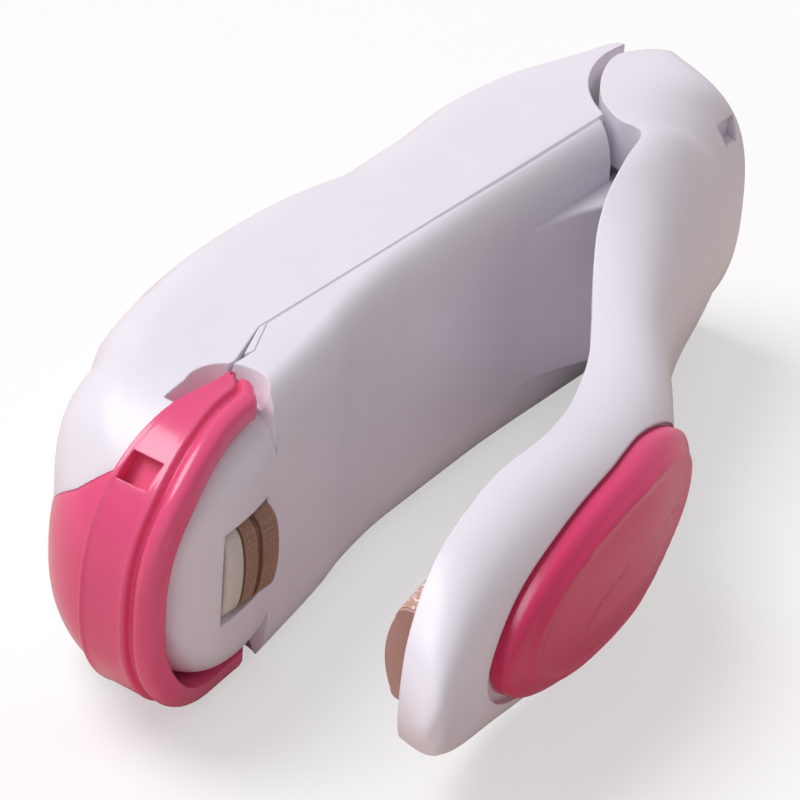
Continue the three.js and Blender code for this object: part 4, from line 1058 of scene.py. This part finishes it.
def heater_block():
    """The heater's bed with a rounded bar in front, its flange and two spring stubs."""
    half = HEATER_ACROSS / 2
    front, rear = span(HEATER_Y, HEATER_ALONG / 2)
    under = HEATER_FOOT + HEATER_FLANGE

    def bed(stations):
        return skin([
            [(x, y, z) for x, z in [
                (under, MIDDLE - half), *heater_arch(top), (under, MIDDLE + half),
            ]]
            for y, top in stations
        ])

    bar_rear = front + HEATER_BAR
    rim = bed([
        *[(front + HEATER_EDGE * (1 - math.cos(a)), HEATER_TOP - HEATER_EDGE * (1 - math.sin(a)))
          for a in steps(0, math.pi / 2, 8)],
        *[(bar_rear - BAR_EDGE * (1 - math.sin(a)), HEATER_TOP - BAR_EDGE * (1 - math.cos(a)))
          for a in steps(0, math.pi / 2, 5)],
    ])
    flange = block(
        HEATER_FOOT, under + SEAT, front - HEATER_FLANGE, rear + HEATER_FLANGE,
        *span(MIDDLE, half + HEATER_FLANGE),
    )
    stub = SPRING_RADIUS - SPRING_WIRE - GAP
    stubs = together([
        post(HEATER_Y, z, stub, SPRING_TOP - HEATER_TRAVEL, HEATER_FOOT + SEAT)
        for z in span(MIDDLE, SPRING_SPACING / 2)
    ])
    core = bed([(front + HEATER_EDGE * 1.5, HEATER_FACE), (rear, HEATER_FACE)])
    return join(core, rim, flange, stubs)


# The lock: its band round the nose and its dome on the battery side

# The band's edge on the lever's side: along and height from the pins, as shares of the nose
VISOR_RIGHT = [
    (0.17, 0.09), (0.06, 0.2), (-0.05, 0.22), (-0.2, 0.245), (-0.5, 0.32), (-0.8, 0.385),
    (-1, 0.39),
]


def softened(points, rounds):
    """An open line of points with its corners cut off, again and again."""
    for _ in range(rounds):
        line = [points[0]]
        for a, b in zip(points, points[1:]):
            line.append(tuple(0.75 * p + 0.25 * q for p, q in zip(a, b)))
            line.append(tuple(0.25 * p + 0.75 * q for p, q in zip(a, b)))
        points = [*line, points[-1]]
    return points


def visor_section(left, right):
    """The band's section: a lip, the flat, a groove and the bead; thickness, then its share."""
    fit = min(1, (right - left) / (BEAD_WIDTH + GROOVE_DEPTH * 2))
    bead, groove = BEAD_WIDTH * fit, GROOVE_DEPTH * fit
    rim = right - bead
    outer = softened([
        (left, 0.78), (left + 0.05, 0.98), (left + 0.4, 1.04), (left + 0.8, 0.99),
        (left + 1.1, 0.98), (rim - groove * 1.7, 0.98), (rim - groove * 1.2, 1.02),
        (rim - groove * 0.75, 0.98), (rim - groove * 0.6, 0.74), (rim - groove * 0.1, 0.7),
        (rim + groove * 0.3, 0.86), (rim + groove, 0.94), (right - bead * 0.42, 0.92),
        (right - bead * 0.12, 0.8), (right, 0.55),
    ], 2)
    return [*outer, (right, 0), (left, 0)]


def visor_band():
    """The band's section, swept round the nose from arm end to arm end."""
    inner_half, inner_reach = NOSE_WIDTH / 2 + VISOR_GAP, NOSE_REACH + VISOR_GAP
    right_rows = [
        (LOCK.y + NOSE_REACH * along, LOCK.x + NOSE_REACH * rise) for along, rise in VISOR_RIGHT
    ]
    left_rows = [
        (LOCK.y, VISOR_LEFT), (LOCK.y - NOSE_REACH * 0.35, VISOR_LEFT - LEFT_LAP),
        (LOCK.y - NOSE_REACH, VISOR_LEFT - LEFT_LAP),
    ]

    def ring(turn, at=None):
        wide = abs(math.cos(turn)) ** (2 / ARCH) * math.copysign(1, math.cos(turn))
        reach = max(math.sin(turn), 0) ** (2 / ARCH)
        centre = LOCK.y - inner_reach * reach if at is None else at
        points = []
        for x, share in visor_section(through(left_rows, centre), through(right_rows, centre)):
            half = inner_half + (MIDDLE - inner_half) * min(share, 1)
            out = BAND_THICK * share
            along = LOCK.y - (inner_reach + out) * reach if at is None else at
            points.append((x, along, MIDDLE + half * wide))
        return points

    arm_end = LOCK.y + NOSE_REACH * VISOR_RIGHT[0][0]
    arm = steps(arm_end, LOCK.y, 6)[:-1]
    rings = [ring(0, y) for y in arm]
    rings += [ring(turn) for turn in steps(0, math.pi, 132)]
    rings += [ring(math.pi, y) for y in reversed(arm)]
    return skin(rings)


DOME_TURN = -0.53 * math.pi
DOME = Vector((
    LOCK.x + DOME_SHIFT * math.cos(DOME_TURN), LOCK.y + DOME_SHIFT * math.sin(DOME_TURN),
))
# The dome's rear edge: down from the band, and ahead of the pins
DOME_EDGE = [(-SEAT, 6), (3, 6.4), (7, 7.9), (11, 10.6), (13, 12.5)]


def visor_dome():
    """A turned form on the front of the battery side, hollowed where the case goes in."""
    rings = []
    for a in [math.pi * t for t in steps(0.01, 0.99, 64)]:
        radius = math.sin(a) ** (2 / ARCH) * DOME_REACH
        up = abs(math.cos(a)) ** (2 / ARCH) * math.copysign(1, -math.cos(a)) * DOME_HALF
        rings.append([
            (DOME.x + radius * math.cos(b), DOME.y + radius * math.sin(b), MIDDLE + up)
            for b in [2 * math.pi * k / 144 for k in range(144)]
        ])
    edge = [
        (LOW_SIDE, -FAR), (VISOR_LEFT + SEAT, -FAR),
        *[(VISOR_LEFT - down, LOCK.y - ahead) for down, ahead in DOME_EDGE],
        (LOW_SIDE, LOCK.y - DOME_EDGE[-1][1]),
    ]
    front = common(skin(rings), prism(edge))
    return cut(front, wide_case(-GAP))


def lock_visor():
    """The band and the dome as one, bored for the pins, with a shallow window in each arm."""
    whole = join(visor_band(), visor_dome())
    windows = []
    for side in (-1, 1):
        opening = block(
            *span(0, WINDOW_LENGTH / 2), -NOSE_REACH * 1.5, -WINDOW_FLOOR,
            *span(0, WINDOW_WIDTH / 2),
        )
        opening.data.transform(
            Matrix.Translation((VISOR_LEFT + WINDOW_RISE, LOCK.y, MIDDLE))
            @ Matrix.Rotation(-side * WINDOW_TURN, 4, "X")
        )
        windows.append(opening)
    pin = bar(LOCK.x, LOCK.y, LOCK_PIN_RADIUS + GAP, ARM_SKIN, WIDTH - ARM_SKIN, 48)
    return cut(whole, pin, *windows)


def largest_part(piece):
    """Keeps the main body of a cut piece and drops the slivers."""
    edited(piece, (bpy.ops.mesh.separate, {"type": "LOOSE"}))
    parts = sorted(bpy.context.selected_objects, key=lambda o: -len(o.data.vertices))
    for other in parts[1:]:
        bpy.data.objects.remove(other)
    return parts[0]


# The pieces, each on its body

finished(base_tub(), "case_tub", WHITE, "case", "white_plastic", "base_tub")
finished(top_cover(), "case_cover", WHITE, "case", "white_plastic", "top_cover")
finished(battery_door(), "cell_door", WHITE, "door", "white_plastic", "battery_door")
finished(
    largest_part(lever_shell()), "lever_body", WHITE, "lever", "white_plastic", "lever_shell",
    angle=40,
)
finished(thumb_pad(), "lever_thumb_pad", THUMB, "lever", "pink_plastic", "thumb_pad")
finished(largest_part(lock_visor()), "lock_hood", PINK, "lock", "pink_plastic", "lock_visor")
finished(heater_block(), "heater_bed", CERAMIC, "heater", "ceramic", "heater_block")
strip_foot = HEATER_FACE + SEAT
for end, y0, y1 in (
    ("front", STRIP_FRONT, RIBBON_Y - WIRE_GAP),
    ("rear", RIBBON_Y + RIBBON_WIDTH + WIRE_GAP, STRIP_REAR),
):
    finished(
        crown_sheet(y0, y1, strip_foot, strip_foot + STRIP_THICK),
        "heater_cloth_" + end, STRIP_CLOTH, "heater", "woven_cloth", "heater_strip_" + end,
    )
finished(
    crown_sheet(RIBBON_Y, RIBBON_Y + RIBBON_WIDTH, strip_foot, HEATER_FACE + STRIP_THICK),
    "heater_wire", WIRE, "heater", "steel", "heater_ribbon",
)
core = finished(press_pad(), "pad_block", RUBBER, "lever", "soft_rubber", "press_pad")
sleeve = finished(pad_cloth(), "pad_sleeve", PAD_CLOTH, "lever", "woven_cloth", "pad_cloth")

# The solids that stay as they are take a finish
CARRIED = {
    INNER: ["lever_liner"],
    CELL: ["cell_1", "cell_2"],
    BRASS: ["switch_leaf_upper", "switch_leaf_lower"],
    STEEL: [
        "contact_spring_front", "contact_spring_rear", "contact_bridge_front",
        "contact_plate_rear_1", "contact_plate_rear_2", "heater_spring_1", "heater_spring_2",
        "hinge_pin", "lever_spring", "case_screw_1", "case_screw_2", "case_screw_3",
        "case_screw_4",
    ],
}
for material, names in CARRIED.items():
    for name in names:
        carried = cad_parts[name]
        if not carried.material_slots:
            carried.data.materials.append(material)
        for place in carried.material_slots:
            place.material = material


# Floor, light and camera

def floor():
    """A wide pale floor, just clear of the case, that keeps the sealer's shadow."""
    size, drop = 6, 0.0002
    plane = made(bpy.ops.mesh.primitive_plane_add, size=size, location=(0, 0, -drop))
    plane.name = "floor"
    f = Finish("pale floor")
    seen = f.node("LightPath", output="Is Camera Ray")
    tint = f.mix(seen, (0.66, 0.56, 0.5, 1), (0.98, 0.98, 0.98, 1))
    paper = f.node("BsdfDiffuse", inputs={"Color": tint}, output="BSDF")
    white = f.node("Emission", inputs={"Strength": 1.0}, output="Emission")
    whole = f.node(
        "MixShader", inputs={0: seen * 0.5, 1: paper, 2: white}, output="Shader",
    )
    f.node("OutputMaterial", inputs={"Surface": whole})
    plane.data.materials.append(f.material)


def backdrop():
    """An even soft surround that the camera sees as white."""
    f = Finish("studio", bpy.data.worlds)
    seen = f.math("MAXIMUM", *[
        f.node("LightPath", output=ray)
        for ray in ("Is Camera Ray", "Is Transmission Ray")
    ])
    soft = f.node(
        "Background", inputs={"Color": (0.99, 0.955, 0.97, 1), "Strength": 0.36},
    )
    bright = f.node("Background", inputs={"Strength": 1.0})
    whole = f.node("MixShader", inputs={0: seen, 1: soft, 2: bright})
    f.node("OutputWorld", inputs={"Surface": whole})
    scene.world = f.material


def lamp(name, towards, strength, spread, colour=(1, 1, 1)):
    """A soft lamp far out along a direction, facing the sealer."""
    data = bpy.data.lights.new(name, "SUN")
    data.energy, data.angle, data.color = strength, math.radians(spread), colour
    light = bpy.data.objects.new(name, data)
    scene.collection.objects.link(light)
    light.rotation_euler = Vector(towards).to_track_quat("Z", "Y").to_euler()
    light.location = Vector(towards).normalized()


def aim_camera():
    """A long lens from above the nose, at the photograph's angle."""
    aim, away, lens, sensor = Vector((0.012, -0.006, 0.0175)), 0.61133, 250.56, 36
    azimuth, elevation, roll = (math.radians(v) for v in (35.451, 32.833, 4.29))
    back = Vector((
        math.sin(azimuth) * math.cos(elevation), -math.cos(azimuth) * math.cos(elevation),
        math.sin(elevation),
    ))
    level = Vector((math.cos(azimuth), math.sin(azimuth), 0))
    above = back.cross(level)
    right = level * math.cos(roll) + above * math.sin(roll)
    up = above * math.cos(roll) - level * math.sin(roll)
    data = bpy.data.cameras.new("photo view")
    data.lens, data.sensor_width = lens, sensor
    data.clip_start, data.clip_end = 0.01, 20
    camera = bpy.data.objects.new("photo view", data)
    scene.collection.objects.link(camera)
    turn = Matrix((right, up, back)).transposed().to_4x4()
    camera.matrix_world = Matrix.Translation(aim + back * away) @ turn
    scene.camera = camera


floor()
backdrop()
lamp("key", (-0.5, -0.15, 0.85), 2.2, 40, (1, 0.985, 1.0))
lamp("fill", (0.2, -0.9, 0.4), 0.25, 60)
aim_camera()
scene.view_settings.view_transform = "Standard"
